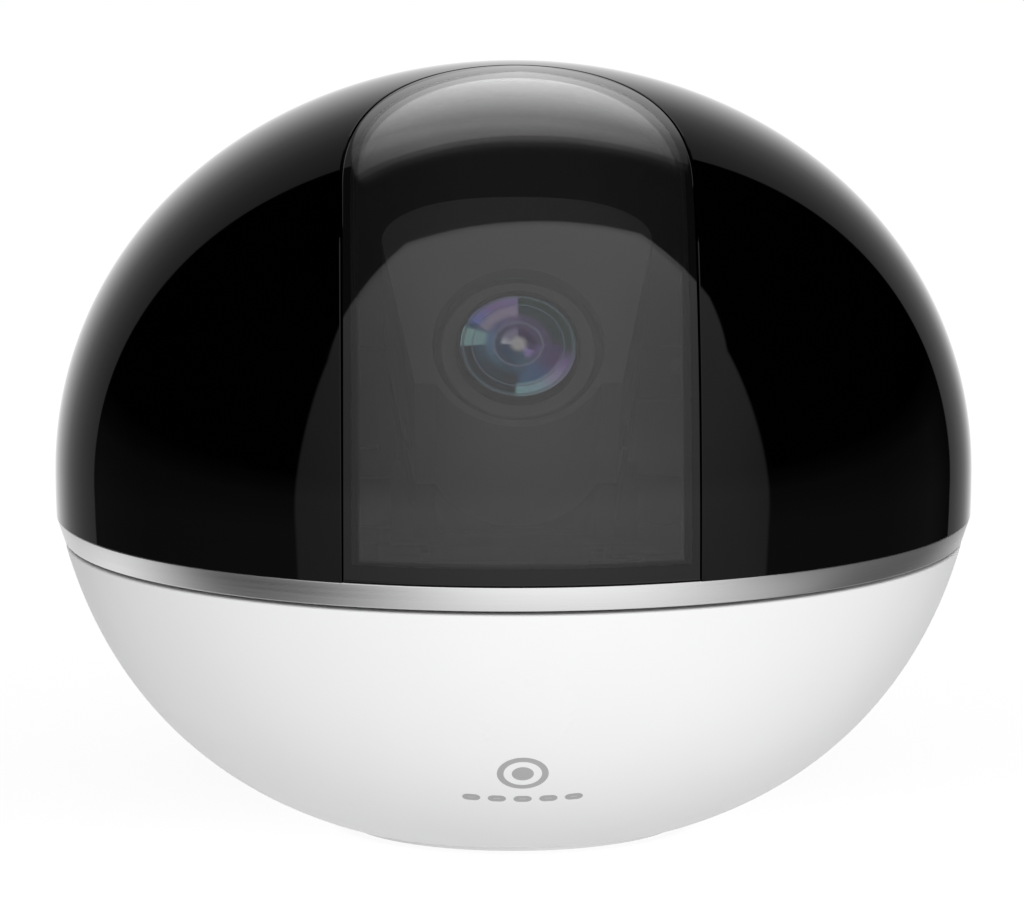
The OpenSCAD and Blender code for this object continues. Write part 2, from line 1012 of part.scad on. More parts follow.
// ---- tilt head, in its own frame with the lens along -Y ----

// Outline of the face plate: a tapered plate with a full, bowed top, joined to a disc about the lens
module face_outline(inset) {
    bottom = -5 + inset;
    shoulder = 13.4 - inset * 0.6;
    bow = 19.1 - inset - shoulder;
    half_low = 11.7 - inset;
    half_high = 15.4 - inset;
    bow_power = 2.5;
    bow_steps = 24;
    polygon(concat(
        [[-half_low, bottom], [half_low, bottom]],
        [
            for (i = [0 : bow_steps])
                let (a = 180 * i / bow_steps, across = pow(abs(cos(a)), 2 / bow_power))
                [half_high * sign(cos(a)) * across, shoulder + bow * sin(a)]
        ]
    ));
    circle(r = face_hole_r + 0.85 - inset);
}

// Side view of the tilt head, Y across and Z up
module side_outline(inset) {
    polygon([
        [-face_reach + (inset > 0 ? 2 : 0), -10.7 + inset], [-14, -10.7 + inset],
        [-2, -5.4 + inset], [3, -4.4 + inset], [5.4 - inset, 0], [3, 4.4 - inset],
        [-2, 5.4 - inset], [-33, 19.2 - inset], [-face_reach + (inset > 0 ? 2 : 0), 19.2 - inset]
    ]);
}

module tilt_body(inset) {
    intersection() {
        rotate([90, 0, 0])
            translate([0, 0, -10])
                linear_extrude(face_reach + 10)
                    face_outline(inset);
        plate_yz(-20, 40)
            side_outline(inset);
    }
}

module tilt_front_cover() {
    color([0.17, 0.17, 0.18])
        in_tilt()
            difference() {
                intersection() {
                    tilt_body(0);
                    translate([-far / 2, tilt_parting_y - far, -far / 2])
                        cube([far, far, far]);
                }
                tilt_body(tilt_wall);
                translate([0, -face_reach + 3, 0])
                    forwards()
                        cylinder(r = face_hole_r, h = 10);
                for (side = [0, 1])
                    mirror([side, 0, 0]) {
                        translate([10, cover_screw_y, 0])
                            sideways()
                                cylinder(r = 0.95, h = 10);
                        translate([cover_screw_x, cover_screw_y, 0])
                            sideways()
                                cylinder(r = 1.8, h = 10);
                    }
            }
}

module tilt_rear_cover() {
    tab_x = 9.5;
    color([0.12, 0.12, 0.13])
        in_tilt()
            difference() {
                union() {
                    difference() {
                        intersection() {
                            tilt_body(0);
                            translate([-far / 2, tilt_parting_y, -far / 2])
                                cube([far, far, far]);
                        }
                        tilt_body(tilt_wall);
                    }
                    for (side = [0, 1])
                        mirror([side, 0, 0]) {
                            translate([tab_x, 0, 0])
                                sideways()
                                    cylinder(r = 5, h = 5);
                            translate([tab_x - 0.9, -19, -2.5])
                                cube([1.5, 12, 5]);
                        }
                }
                translate([-30, 0, 0])
                    sideways()
                        cylinder(r = trunnion_r, h = 60);
                for (x = [-20, 5])
                    translate([x, cover_screw_y, 0])
                        sideways()
                            cylinder(r = 0.8, h = 15);
            }
}

module tilt_cover_screws() {
    color("silver")
        in_tilt()
            for (side = [0, 1])
                mirror([side, 0, 0])
                    translate([cover_screw_x, cover_screw_y, 0])
                        sideways()
                            screw(0.8, 3.4, 1.6, 0.8);
}

// Solid trunnion on the gear's side and a hollow one for the cable on the other side
module trunnion_shafts() {
    color("silver")
        in_tilt() {
            translate([8.5, 0, 0])
                sideways()
                    cylinder(r = trunnion_r, h = gear_x + tilt_gear_t - 8.5);
            translate([-26.5, 0, 0])
                sideways()
                    tube(trunnion_r, 1.9, 18);
        }
}

module tilt_gear() {
    color("ivory")
        translate([gear_x, 0, tilt_z])
            rotate([0, 90, 0])
                rotate(90)
                    gear(tilt_module, tilt_gear_teeth, tilt_gear_t, trunnion_r);
}

module sensor_cable() {
    color("black")
        in_tilt()
            translate([-30, 0, 0])
                sideways()
                    cylinder(r = 1.6, h = 24);
}

// Solid of revolution about the lens axis; points are [radius, distance in front of the tilt axis]
module on_lens_axis(points) {
    in_tilt()
        rotate([90, 0, 0])
            rotate_extrude()
                polygon(points);
}

module lens_bezel() {
    color([0.3, 0.3, 0.3])
        on_lens_axis([
            [face_hole_r - 0.2, 35.2], [face_hole_r - 0.2, 36.6], [8.75, 36.9],
            [7.1, 36.9], [7.1, 35.2]
        ]);
}

module lens_barrel() {
    color("black")
        on_lens_axis([
            [6, 18], [6, 31], [lens_head_r, 31], [lens_head_r, lens_reach - 0.3],
            [lens_head_r - 0.3, lens_reach], [6.3, lens_reach], [6, 39.4], [6, 35.5],
            [5, 35.5], [5, 34.5], [4, 34.2], [4, 33], [2.9, 32.6], [2.9, 29], [4.5, 27],
            [4.5, 18]
        ]);
}

module front_lens() {
    dome_steps = 8;
    lens_r = 5.95;
    rise = 1.2;
    cap_r = (lens_r * lens_r + rise * rise) / (2 * rise);
    color([0.5, 0.5, 0.65, 0.5])
        on_lens_axis(concat(
            [[0, 36.2], [3.4, 35.8], [lens_r, 35.6]],
            [
                for (i = [0 : dome_steps])
                    let (r = lens_r * (1 - i / dome_steps))
                    [r, 38 + rise - cap_r + sqrt(cap_r * cap_r - r * r)]
            ]
        ));
}

module rear_lens() {
    dome_steps = 6;
    lens_r = 2.85;
    cap_r = 5;
    color([0.4, 0.5, 0.6, 0.5])
        on_lens_axis(concat(
            [[0, 29.5], [lens_r, 29.5]],
            [
                for (i = [0 : dome_steps])
                    let (r = lens_r * (1 - i / dome_steps))
                    [r, 33 - cap_r + sqrt(cap_r * cap_r - r * r)]
            ]
        ));
}

module lens_holder() {
    color("black")
        in_tilt()
            difference() {
                translate([0, -16.6, 0])
                    forwards()
                        cylinder(r = carrier_r, h = 7.4);
                translate([0, -18, 0])
                    forwards()
                        cylinder(r = 6, h = 10);
                translate([-4.2, -18.5, -4.2])
                    cube([8.4, 5, 8.4]);
            }
}

module ir_cut_filter() {
    color([0.6, 0.2, 0.3, 0.5])
        in_tilt()
            translate([-4.1, -17.9, -4.1])
                cube([8.2, 0.3, 8.2]);
}

module image_sensor() {
    color("darkblue")
        in_tilt()
            translate([-3.5, -17.4, -3])
                cube([7, 0.8, 6]);
}

module sensor_board() {
    color("darkgreen")
        in_tilt()
            translate([0, -15.4, 0])
                forwards()
                    cylinder(r = carrier_r, h = 1.2);
}

module ir_led_board() {
    color("darkgreen")
        in_tilt()
            translate([-10, -34.4, 10.6])
                cube([20, 1, 4]);
}

module ir_leds() {
    color("white")
        in_tilt()
            for (x = [-7.5, -2.5, 2.5, 7.5])
                translate([x, -34.4, 12.6])
                    forwards() {
                        cylinder(r = 1.5, h = 0.8);
                        translate([0, 0, 0.8 - eps])
                            cylinder(r = 1.1, h = 0.7);
                    }
}

base_bowl();
bottom_cover();
rubber_foot();
tripod_insert();
case_screws();
main_board();
board_screws();
processor_shield();
usb_power_inlet();
card_socket();
speaker();
status_window();
light_board();
reset_switch();
reset_button();
loom_connector();
base_frame();
pan_gear();
pan_gear_screws();
thrust_washer();
retaining_ring();
turntable();
trim_ring();
dome_shell();
window_panel();
window_adhesive();
dome_screws();
yoke_frame();
yoke_screws();
trunnion_bushes();
pan_motor();
pan_motor_screws();
pan_pinion();
tilt_motor();
tilt_motor_screws();
tilt_pinion();
back_shield();
shield_screws();
head_board();
head_board_screws();
wifi_module();
wifi_antenna();
microphone();
wiring_loom();
tilt_front_cover();
tilt_rear_cover();
tilt_cover_screws();
trunnion_shafts();
tilt_gear();
sensor_cable();
lens_bezel();
lens_barrel();
front_lens();
rear_lens();
lens_holder();
ir_cut_filter();
image_sensor();
sensor_board();
ir_led_board();
ir_leds();
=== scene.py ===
"""Looks of the ball-shaped pan and tilt camera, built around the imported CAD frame.

Every size comes from the frame's boxes or from the named values below, in metres. The smooth visible
shells are meshes laid on the exact superellipse surfaces; the mechanism inside keeps its CAD meshes.
"""

import json
import math

import bmesh
import bpy
from mathutils import Matrix, Vector


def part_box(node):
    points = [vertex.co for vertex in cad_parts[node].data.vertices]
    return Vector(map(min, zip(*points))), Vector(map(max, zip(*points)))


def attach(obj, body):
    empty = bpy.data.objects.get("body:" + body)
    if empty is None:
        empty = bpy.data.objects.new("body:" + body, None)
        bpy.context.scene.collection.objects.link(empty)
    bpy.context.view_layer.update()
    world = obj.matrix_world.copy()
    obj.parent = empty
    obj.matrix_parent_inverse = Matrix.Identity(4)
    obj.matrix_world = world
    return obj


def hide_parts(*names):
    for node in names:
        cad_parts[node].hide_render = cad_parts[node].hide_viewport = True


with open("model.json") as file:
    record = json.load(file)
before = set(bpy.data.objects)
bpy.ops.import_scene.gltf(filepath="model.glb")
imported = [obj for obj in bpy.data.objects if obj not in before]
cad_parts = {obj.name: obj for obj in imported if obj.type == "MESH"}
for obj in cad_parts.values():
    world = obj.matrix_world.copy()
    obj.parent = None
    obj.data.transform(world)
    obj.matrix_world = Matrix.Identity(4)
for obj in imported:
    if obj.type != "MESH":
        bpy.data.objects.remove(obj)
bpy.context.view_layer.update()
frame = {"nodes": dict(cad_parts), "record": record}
MM = 0.001


# ---- sizes, from the frame ----

dome_low, dome_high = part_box("dome_shell")
bowl_low, bowl_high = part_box("base_bowl")
ring_low, ring_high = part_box("trim_ring")
foot_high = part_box("rubber_foot")[1]

DOME_R = (dome_high.x - dome_low.x) / 2
RIM_Z = dome_low.z
EQUATOR_Z = RIM_Z + 5 * MM
DOME_RISE = dome_high.z - EQUATOR_Z
DOME_POWER = 2.037
RIM_DROP = 0.1 * MM            # how much narrower the rim is than the equator
RIM_SLOPE = 75.4 * MM          # height lost below the equator for each unit of colatitude
DOME_WALL = 2.4 * MM

ARCH_HALF = 20.15 * MM         # seam of the window
ARCH_SHOULDER = -28 * MM
ARCH_LENGTH = 26.5 * MM
SEAM = 0.13 * MM
PANEL_T = 1.8 * MM
SEAT_DEPTH = 2.1 * MM
LEDGE_BACK = 3.6 * MM          # depth of the ledge's inner face
CLEAR_HALF = 19.1 * MM         # clear opening behind the window
CLEAR_LENGTH = 21.7 * MM
CLEAR_BOTTOM_Z = 39.1 * MM

BOWL_TOP_Z = bowl_high.z
BOWL_BOTTOM_Z = bowl_low.z
BOWL_CENTRE_Z = 54.79 * MM
BOWL_A = 55.27 * MM
BOWL_B = 56.92 * MM
BOWL_POWER = 2.327
BOWL_WALL = 2.2 * MM
BOWL_FLOOR_Z = 5.2 * MM
BOWL_HOLE_R = 14.5 * MM
COVER_SEAT_Z = 3.6 * MM
COVER_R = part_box("bottom_cover")[1].x + 0.1 * MM

TILT_Z = 38 * MM
LENS_ELEVATION = math.radians(37)
LENS_REACH = 38.25 * MM
LENS_HEAD_R = 6.9 * MM
FACE_HOLE_R = 9.75 * MM
GROOVE_R = 8.75 * MM
GLASS_EDGE_Z = 37.85 * MM
GLASS_R = 6.58 * MM
GLASS_RISE = 0.46 * MM
COLLAR_BACK = 35.2 * MM        # heights along the lens axis, from the tilt axis
COLLAR_FRONT = 36.9 * MM
COLLAR_INNER_R = 7.1 * MM
GASKET_FRONT = 36.4 * MM


# ---- surfaces ----

def dome_point(s, azimuth, inset):
    """Point of the dome: s is 0 at the apex, 1 at the equator and over 1 down to the rim."""
    if s <= 1:
        t = (1 - s) * math.pi / 2
        r = DOME_R * math.cos(t) ** (2 / DOME_POWER)
        z = DOME_RISE * math.sin(t) ** (2 / DOME_POWER)
    else:
        z = -(s - 1) * RIM_SLOPE
        r = DOME_R - RIM_DROP * (z / (5 * MM)) ** 2
    p = Vector((r * math.cos(azimuth), r * math.sin(azimuth), z + EQUATOR_Z))
    return p - dome_normal(p) * inset


def dome_normal(p):
    """Outward normal of the dome's outer surface at or near p."""
    z = p.z - EQUATOR_Z
    r = math.hypot(p.x, p.y)
    if z > 0:
        nr = r ** (DOME_POWER - 1) / DOME_R ** DOME_POWER
        nz = z ** (DOME_POWER - 1) / DOME_RISE ** DOME_POWER
    else:
        nr = 1.0
        nz = 2 * RIM_DROP * z / (5 * MM) ** 2
    if r < 1e-9:
        return Vector((0, 0, 1))
    return Vector((nr * p.x / r, nr * p.y / r, nz)).normalized()


def dome_s(r):
    """Colatitude s of the dome's outer surface at plan radius r, above the equator."""
    return 1 - math.acos(min(1, r / DOME_R) ** (DOME_POWER / 2)) * 2 / math.pi


def bowl_radius(z):
    """Radius of the bowl's outer surface at a height."""
    return BOWL_A * (1 - ((BOWL_CENTRE_Z - z) / BOWL_B) ** BOWL_POWER) ** (1 / BOWL_POWER)


def bowl_normal(p):
    """Outward normal of the bowl's outer surface at or near p."""
    r = math.hypot(p.x, p.y)
    nr = r ** (BOWL_POWER - 1) / BOWL_A ** BOWL_POWER
    nz = -max(0.0, BOWL_CENTRE_Z - p.z) ** (BOWL_POWER - 1) / BOWL_B ** BOWL_POWER
    if r < 1e-9:
        return Vector((0, 0, -1))
    return Vector((nr * p.x / r, nr * p.y / r, nz)).normalized()


# ---- mesh helpers ----

def new_object(name, verts, faces):
    mesh = bpy.data.meshes.new(name)
    mesh.from_pydata([tuple(v) for v in verts], [], faces)
    mesh.validate()
    obj = bpy.data.objects.new(name, mesh)
    bpy.context.scene.collection.objects.link(obj)
    return obj


def clean(obj):
    """Merges points that coincide and turns every face outwards."""
    bm = bmesh.new()
    bm.from_mesh(obj.data)
    bmesh.ops.remove_doubles(bm, verts=bm.verts, dist=2e-6)
    bmesh.ops.dissolve_degenerate(bm, edges=bm.edges, dist=1e-7)
    bmesh.ops.recalc_face_normals(bm, faces=bm.faces)
    bm.to_mesh(obj.data)
    bm.free()


def surface_shading(obj, normal_at, agree=0.97):
    """Gives faces that follow a curved surface that surface's own normals, and leaves the others flat."""
    mesh = obj.data
    analytic = [normal_at(v.co.copy()) for v in mesh.vertices]
    normals = [None] * len(mesh.loops)
    for poly in mesh.polygons:
        poly.use_smooth = True
        for loop in poly.loop_indices:
            n = analytic[mesh.loops[loop].vertex_index]
            d = n.dot(poly.normal)
            if abs(d) > agree:
                normals[loop] = n if d > 0 else -n
            else:
                normals[loop] = poly.normal.copy()
    mesh.normals_split_custom_set(normals)


def circle(radius, segments, height=0.0):
    """Points round a level circle."""
    turns = [2 * math.pi * i / segments for i in range(segments)]
    return [Vector((radius * math.cos(a), radius * math.sin(a), height)) for a in turns]


def rows_mesh(name, rows, wrap_rows=False, wrap_columns=False, cap_columns=False, cap_rows=False):
    """Quads between rows of points, each with the same number, and flat faces on the open ends."""
    count = len(rows[0])
    verts = [p for row in rows for p in row]
    faces = []
    for j in range(len(rows) if wrap_rows else len(rows) - 1):
        here, there = j * count, (j + 1) % len(rows) * count
        for i in range(count if wrap_columns else count - 1):
            beside = (i + 1) % count
            faces.append((here + i, here + beside, there + beside, there + i))
    if cap_columns:
        faces.append([j * count for j in range(len(rows))])
        faces.append([j * count + count - 1 for j in reversed(range(len(rows)))])
    if cap_rows:
        faces.append(list(range(count)))
        faces.append([(len(rows) - 1) * count + i for i in reversed(range(count))])
    return new_object(name, verts, faces)


def lathe(name, profile, segments, axis_frame=None):
    """Closed solid of revolution about Z from (radius, height) points, optionally moved by a matrix."""
    rows = [circle(r, segments, z) for r, z in profile]
    obj = rows_mesh(name, rows, wrap_rows=True, wrap_columns=True)
    clean(obj)
    if axis_frame is not None:
        obj.data.transform(axis_frame)
    return obj


def smooth_by_angle(obj, angle=30):
    """Shades smooth, with creases sharper than the angle kept as real edges."""
    mesh = obj.data
    for poly in mesh.polygons:
        poly.use_smooth = True
    bm = bmesh.new()
    bm.from_mesh(mesh)
    for edge in bm.edges:
        if len(edge.link_faces) == 2:
            edge.smooth = edge.calc_face_angle(0) < math.radians(angle)
    bm.to_mesh(mesh)
    bm.free()
    return obj


def round_profile(points, radius, steps=4):
    """Rounds the corners of a closed (radius, height) profile, except those on the axis."""
    out = []
    n = len(points)
    for i in range(n):
        p, a, b = (Vector(points[k % n]).to_2d() for k in (i, i - 1, i + 1))
        to_a, to_b = a - p, b - p
        reach = min(radius, to_a.length * 0.45, to_b.length * 0.45)
        if p.x < 1e-6 or reach < 1e-7:
            out.append((p.x, p.y))
            continue
        start, end = p + to_a.normalized() * reach, p + to_b.normalized() * reach
        for k in range(steps + 1):
            t = k / steps
            q = start * (1 - t) ** 2 + p * 2 * t * (1 - t) + end * t ** 2
            out.append((q.x, q.y))
    return out


# ---- materials ----

HAZE = 0.018                   # share of the window's light that its haze scatters
CLEAR_IOR = 1.5
PAINTED_IOR = 1.45


class Value:
    """A node's output that sums can be written with, such as (a + 1) * b."""

    def __init__(self, tree, socket):
        self.tree = tree
        self.socket = socket

    def __add__(self, other):
        return self.tree.math("ADD", self, other)

    def __sub__(self, other):
        return self.tree.math("SUBTRACT", self, other)

    def __rsub__(self, other):
        return self.tree.math("SUBTRACT", other, self)

    def __mul__(self, other):
        return self.tree.math("MULTIPLY", self, other)

    def __truediv__(self, other):
        return self.tree.math("DIVIDE", self, other)

    def __pow__(self, other):
        return self.tree.math("POWER", self, other)

    def __abs__(self):
        return self.tree.math("ABSOLUTE", self)


class Tree:
    """Short-hand for building a node tree."""

    def __init__(self, owner):
        owner.use_nodes = True
        self.tree = owner.node_tree
        self.tree.nodes.clear()

    def add(self, kind, **values):
        node = self.tree.nodes.new(kind)
        for key, value in values.items():
            setattr(node, key, value)
        return node

    def link(self, a, b):
        self.tree.links.new(a.socket if isinstance(a, Value) else a, b)

    def give(self, socket, value):
        """Links a value to an input, or sets the input to a constant."""
        if isinstance(value, (Value, bpy.types.NodeSocket)):
            self.link(value, socket)
        else:
            socket.default_value = value

    def math(self, operation, a, b=0.0):
        node = self.add("ShaderNodeMath", operation=operation)
        self.give(node.inputs[0], a)
        self.give(node.inputs[1], b)
        return Value(self, node.outputs[0])

    def mix(self, factor, a, b, **kind):
        node = self.add("ShaderNodeMix", **kind)
        for key, value in (("Factor", factor), ("A", a), ("B", b)):
            self.give(node.inputs[key], value)
        return node.outputs["Result"]

    def axes(self, vector):
        split = self.add("ShaderNodeSeparateXYZ")
        self.link(vector, split.inputs[0])
        return [Value(self, output) for output in split.outputs]


class Nodes(Tree):
    """A material's node tree, around one principled shader."""

    def __init__(self, name):
        self.material = bpy.data.materials.new(name)
        super().__init__(self.material)
        self.out = self.add("ShaderNodeOutputMaterial")
        self.shader = self.add("ShaderNodeBsdfPrincipled")
        self.link(self.shader.outputs[0], self.out.inputs["Surface"])
        self.coords = self.add("ShaderNodeTexCoord").outputs["Object"]

    def set(self, **values):
        for key, value in values.items():
            self.shader.inputs[key.replace("_", " ")].default_value = value

    def noise(self, scale, detail=4, roughness=0.55, stretch=None):
        node = self.add("ShaderNodeTexNoise")
        node.inputs["Scale"].default_value = scale
        node.inputs["Detail"].default_value = detail
        node.inputs["Roughness"].default_value = roughness
        source = self.coords
        if stretch is not None:
            mapping = self.add("ShaderNodeMapping")
            mapping.inputs["Scale"].default_value = stretch
            self.link(self.coords, mapping.inputs["Vector"])
            source = mapping.outputs[0]
        self.link(source, node.inputs["Vector"])
        return Value(self, node.outputs["Fac"])

    def spread(self, value, low, high, start=0.3, end=0.7):
        """Maps a 0 to 1 pattern onto a range of numbers."""
        node = self.add("ShaderNodeMapRange")
        node.inputs["From Min"].default_value = start
        node.inputs["From Max"].default_value = end
        node.inputs["To Min"].default_value = low
        node.inputs["To Max"].default_value = high
        self.link(value, node.inputs["Value"])
        return Value(self, node.outputs["Result"])

    def ramp(self, value, stops):
        node = self.add("ShaderNodeValToRGB")
        ramp = node.color_ramp
        while len(ramp.elements) < len(stops):
            ramp.elements.new(0.5)
        for element, (place, colour) in zip(ramp.elements, stops):
            element.position = place
            element.color = (*colour, 1)
        self.link(value, node.inputs["Fac"])
        return node.outputs["Color"]

    def bump(self, height, distance):
        node = self.add("ShaderNodeBump")
        node.inputs["Distance"].default_value = distance
        node.inputs["Strength"].default_value = 1.0
        self.link(height, node.inputs["Height"])
        self.link(node.outputs["Normal"], self.shader.inputs["Normal"])

    def colour(self, output):
        self.link(output, self.shader.inputs["Base Color"])

    def rough(self, output):
        self.link(output, self.shader.inputs["Roughness"])


def shade(colour, factor):
    return tuple(min(1.0, c * factor) for c in colour)


def moulded(name, colour, roughness, grain=2500, grain_depth=0.01 * MM, mottle=0.06, ior=1.46):
    """Moulded plastic: fine grain, faint cloudiness and uneven gloss."""
    uneven = 0.15
    m = Nodes(name)
    cloud = m.noise(60, detail=3)
    m.colour(m.ramp(cloud, [(0.3, shade(colour, 1 - mottle)), (0.7, shade(colour, 1 + mottle))]))
    m.rough(m.spread(m.noise(350, detail=5), roughness * (1 - uneven), roughness * (1 + uneven)))
    m.bump(m.noise(grain, detail=2), grain_depth)
    m.set(IOR=ior)
    return m.material


def metal(name, colour, roughness, stretch=(1, 1, 12), grain=900, depth=0.004 * MM):
    """Metal with fine drawn or rolled streaks."""
    m = Nodes(name)
    streaks = m.noise(grain, detail=4, stretch=stretch)
    m.colour(m.ramp(streaks, [(0.3, shade(colour, 0.88)), (0.7, shade(colour, 1.08))]))
    m.rough(m.spread(streaks, roughness * 0.8, roughness * 1.25))
    m.bump(streaks, depth)
    m.set(Metallic=1.0)
    return m.material


def black_gloss():
    """Piano black shell: very smooth, with the faintest orange peel and polishing haze."""
    m = Nodes("black_gloss")
    haze = m.noise(45, detail=3)
    m.colour(m.ramp(haze, [(0.3, (0.0001, 0.0001, 0.0001)), (0.7, (0.0003, 0.0003, 0.0003))]))
    x, y, z = m.axes(m.coords)
    flat = m.math("SQRT", x ** 2 + y ** 2)
    high = m.math("MAXIMUM", z - EQUATOR_Z, 0.0)
    outline = (flat / DOME_R) ** DOME_POWER + (high / DOME_RISE) ** DOME_POWER
    matt_inside = m.spread(outline, 0.6, 0.0, 0.96, 0.975)
    m.rough(m.spread(m.noise(180, detail=4), 0.02, 0.045) + matt_inside)
    m.bump(m.noise(120, detail=2), 0.0008 * MM)
    m.set(IOR=1.33)
    return m.material


def white_gloss():
    """White gloss moulding with faint flow marks."""
    m = Nodes("white_gloss")
    m.colour(m.ramp(m.noise(40, detail=3), [(0.3, (0.885, 0.887, 0.892)), (0.7, (0.905, 0.906, 0.908))]))
    m.rough(m.spread(m.noise(200, detail=4), 0.3, 0.38))
    m.bump(m.noise(140, detail=2), 0.001 * MM)
    m.set(IOR=1.22)
    return m.material


def smoked(tint):
    """Smoked clear window with a black painted border on its inner face and a faint haze."""
    m = Nodes("smoked_window")
    x, y, z = m.axes(m.coords)
    side = abs(x) / CLEAR_HALF
    ahead = m.math("MAXIMUM", (y - ARCH_SHOULDER) / CLEAR_LENGTH, 0.0)
    reach = m.math("SQRT", side ** 2 + ahead ** 2)
    border, band = m.math("GREATER_THAN", reach, 1.0), m.math("LESS_THAN", z, CLEAR_BOTTOM_Z)
    painted = m.math("MAXIMUM", border, band)
    haze = m.spread(reach, 1 - HAZE, 1 - HAZE * 0.7, 0.3, 1.0)
    m.link((1.0 - painted) * haze, m.shader.inputs["Transmission Weight"])
    grade = m.ramp(m.noise(35, detail=2), [(0.3, shade(tint, 0.98)), (0.7, shade(tint, 1.02))])
    m.colour(m.mix(painted, grade, (0.004, 0.004, 0.004, 1), data_type="RGBA"))
    m.rough(m.spread(m.noise(150, detail=3), 0.0, 0.008))
    m.bump(m.noise(90, detail=2), 0.00008 * MM)
    m.link(CLEAR_IOR - painted * (CLEAR_IOR - PAINTED_IOR), m.shader.inputs["IOR"])
    return m.material


def silver_trim():
    """Satin silver ring, spun round its axis, with painted shade that darkens it towards its bottom."""
    m = Nodes("silver_trim")
    streaks = m.noise(500, detail=3, stretch=(0.05, 0.05, 4))
    _, _, z = m.axes(m.coords)
    height = m.spread(z, 0.0, 1.0, ring_low.z, ring_high.z)
    base = m.ramp(streaks, [(0.3, (0.91, 0.91, 0.915)), (0.7, (0.95, 0.95, 0.955))])
    # painted shade: the ring's colour darkens from its top down to its bottom
    grade = m.ramp(height, [(0.1, (0.86, 0.86, 0.86)), (0.9, (1.0, 1.0, 1.0))])
    m.colour(m.mix(1.0, base, grade, data_type="RGBA", blend_type="MULTIPLY"))
    m.rough(m.spread(streaks, 0.27, 0.33))
    m.bump(streaks, 0.0004 * MM)
    m.set(Metallic=1.0)
    return m.material


def board():
    """Circuit board: solder mask over faint copper tracks."""
    m = Nodes("circuit_board")
    tracks = m.add("ShaderNodeTexVoronoi", distance="MANHATTAN")
    tracks.inputs["Scale"].default_value = 420
    m.link(m.coords, tracks.inputs["Vector"])
    m.colour(m.ramp(tracks.outputs["Distance"], [(0.25, (0.012, 0.09, 0.04)), (0.5, (0.02, 0.15, 0.065))]))
    m.rough(m.spread(m.noise(500), 0.3, 0.45))
    m.bump(tracks.outputs["Distance"], 0.02 * MM)
    return m.material


def coated(name, low, high, roughness=0.06, ior=1.7, scale=300):
    """Coated glass seen as a dark surface with tinted reflections."""
    m = Nodes(name)
    m.colour(m.ramp(m.noise(scale, detail=2), [(0.3, low), (0.7, high)]))
    m.rough(m.spread(m.noise(900), roughness * 0.6, roughness * 1.4))
    m.set(IOR=ior)
    return m.material


# Painted reflections on the lens: the coating's tints, with the studio's lights painted in as bright and
# dark wedges, by angle round the axis as a share of a turn, for four rings
COATING_AND_PAINTED_REFLECTION_OUTER = [
    (0.0, (0.002, 0.057, 0.04)), (0.249, (0.002, 0.057, 0.04)), (0.251, (0.47, 0.36, 0.81)),
    (0.33, (0.44, 0.27, 0.66)),
    (0.41, (0.27, 0.34, 1.0)), (0.42, (0.002, 0.083, 0.27)), (0.432, (0.002, 0.083, 0.27)),
    (0.44, (0.47, 0.85, 0.81)),
    (0.499, (0.47, 0.80, 0.81)), (0.501, (0.002, 0.016, 0.04)), (0.735, (0.002, 0.03, 0.04)),
    (0.745, (0.44, 0.83, 0.86)),
    (0.82, (0.50, 0.75, 0.86)), (0.87, (0.63, 0.57, 0.86)), (0.94, (0.38, 0.22, 0.60)),
    (0.985, (0.03, 0.06, 0.08))
]
COATING_AND_PAINTED_REFLECTION_MIDDLE = [
    (0.0, (0.03, 0.05, 0.08)), (0.12, (0.002, 0.057, 0.05)), (0.249, (0.03, 0.06, 0.09)),
    (0.251, (0.63, 0.50, 0.76)),
    (0.34, (0.60, 0.50, 0.72)), (0.42, (0.55, 0.50, 0.70)), (0.428, (0.002, 0.083, 0.27)),
    (0.44, (0.45, 0.80, 0.80)),
    (0.499, (0.44, 0.76, 0.78)), (0.501, (0.05, 0.16, 0.27)), (0.60, (0.01, 0.05, 0.09)),
    (0.735, (0.002, 0.02, 0.03)),
    (0.76, (0.07, 0.20, 0.42)), (0.84, (0.07, 0.20, 0.46)), (0.91, (0.15, 0.06, 0.28)),
    (0.99, (0.12, 0.06, 0.24))
]
COATING_AND_PAINTED_REFLECTION_INNER = [
    (0.0, (0.13, 0.083, 0.232)), (0.2, (0.13, 0.09, 0.24)), (0.27, (0.30, 0.21, 0.48)),
    (0.38, (0.22, 0.22, 0.50)),
    (0.45, (0.168, 0.337, 0.63)), (0.56, (0.11, 0.277, 0.427)), (0.66, (0.04, 0.14, 0.22)),
    (0.74, (0.04, 0.12, 0.22)),
    (0.82, (0.074, 0.21, 0.46)), (0.92, (0.148, 0.08, 0.29))
]
COATING_AND_PAINTED_REFLECTION_CORE = [
    (0.0, (0.057, 0.002, 0.148)), (0.249, (0.057, 0.002, 0.148)), (0.251, (0.40, 0.34, 0.56)),
    (0.40, (0.46, 0.42, 0.62)),
    (0.43, (0.75, 0.78, 0.95)), (0.495, (0.9, 0.9, 1.0)), (0.505, (0.008, 0.065, 0.21)),
    (0.70, (0.02, 0.10, 0.22)),
    (0.80, (0.074, 0.189, 0.325)), (0.86, (0.55, 0.42, 0.95)), (0.90, (0.55, 0.42, 0.95)),
    (0.95, (0.10, 0.04, 0.22))
]
COATING_AND_PAINTED_REFLECTION_RIM = [
    (0.0, (0.12, 0.07, 0.22)), (0.3, (0.16, 0.10, 0.28)), (0.5, (0.03, 0.08, 0.20)),
    (0.7, (0.02, 0.08, 0.18)),
    (0.8, (0.10, 0.24, 0.36)), (0.9, (0.22, 0.14, 0.40))
]
# Colour of the painted highlight in the middle of the lens
PAINTED_HIGHLIGHT_CENTRE = (0.9, 0.865, 0.865)
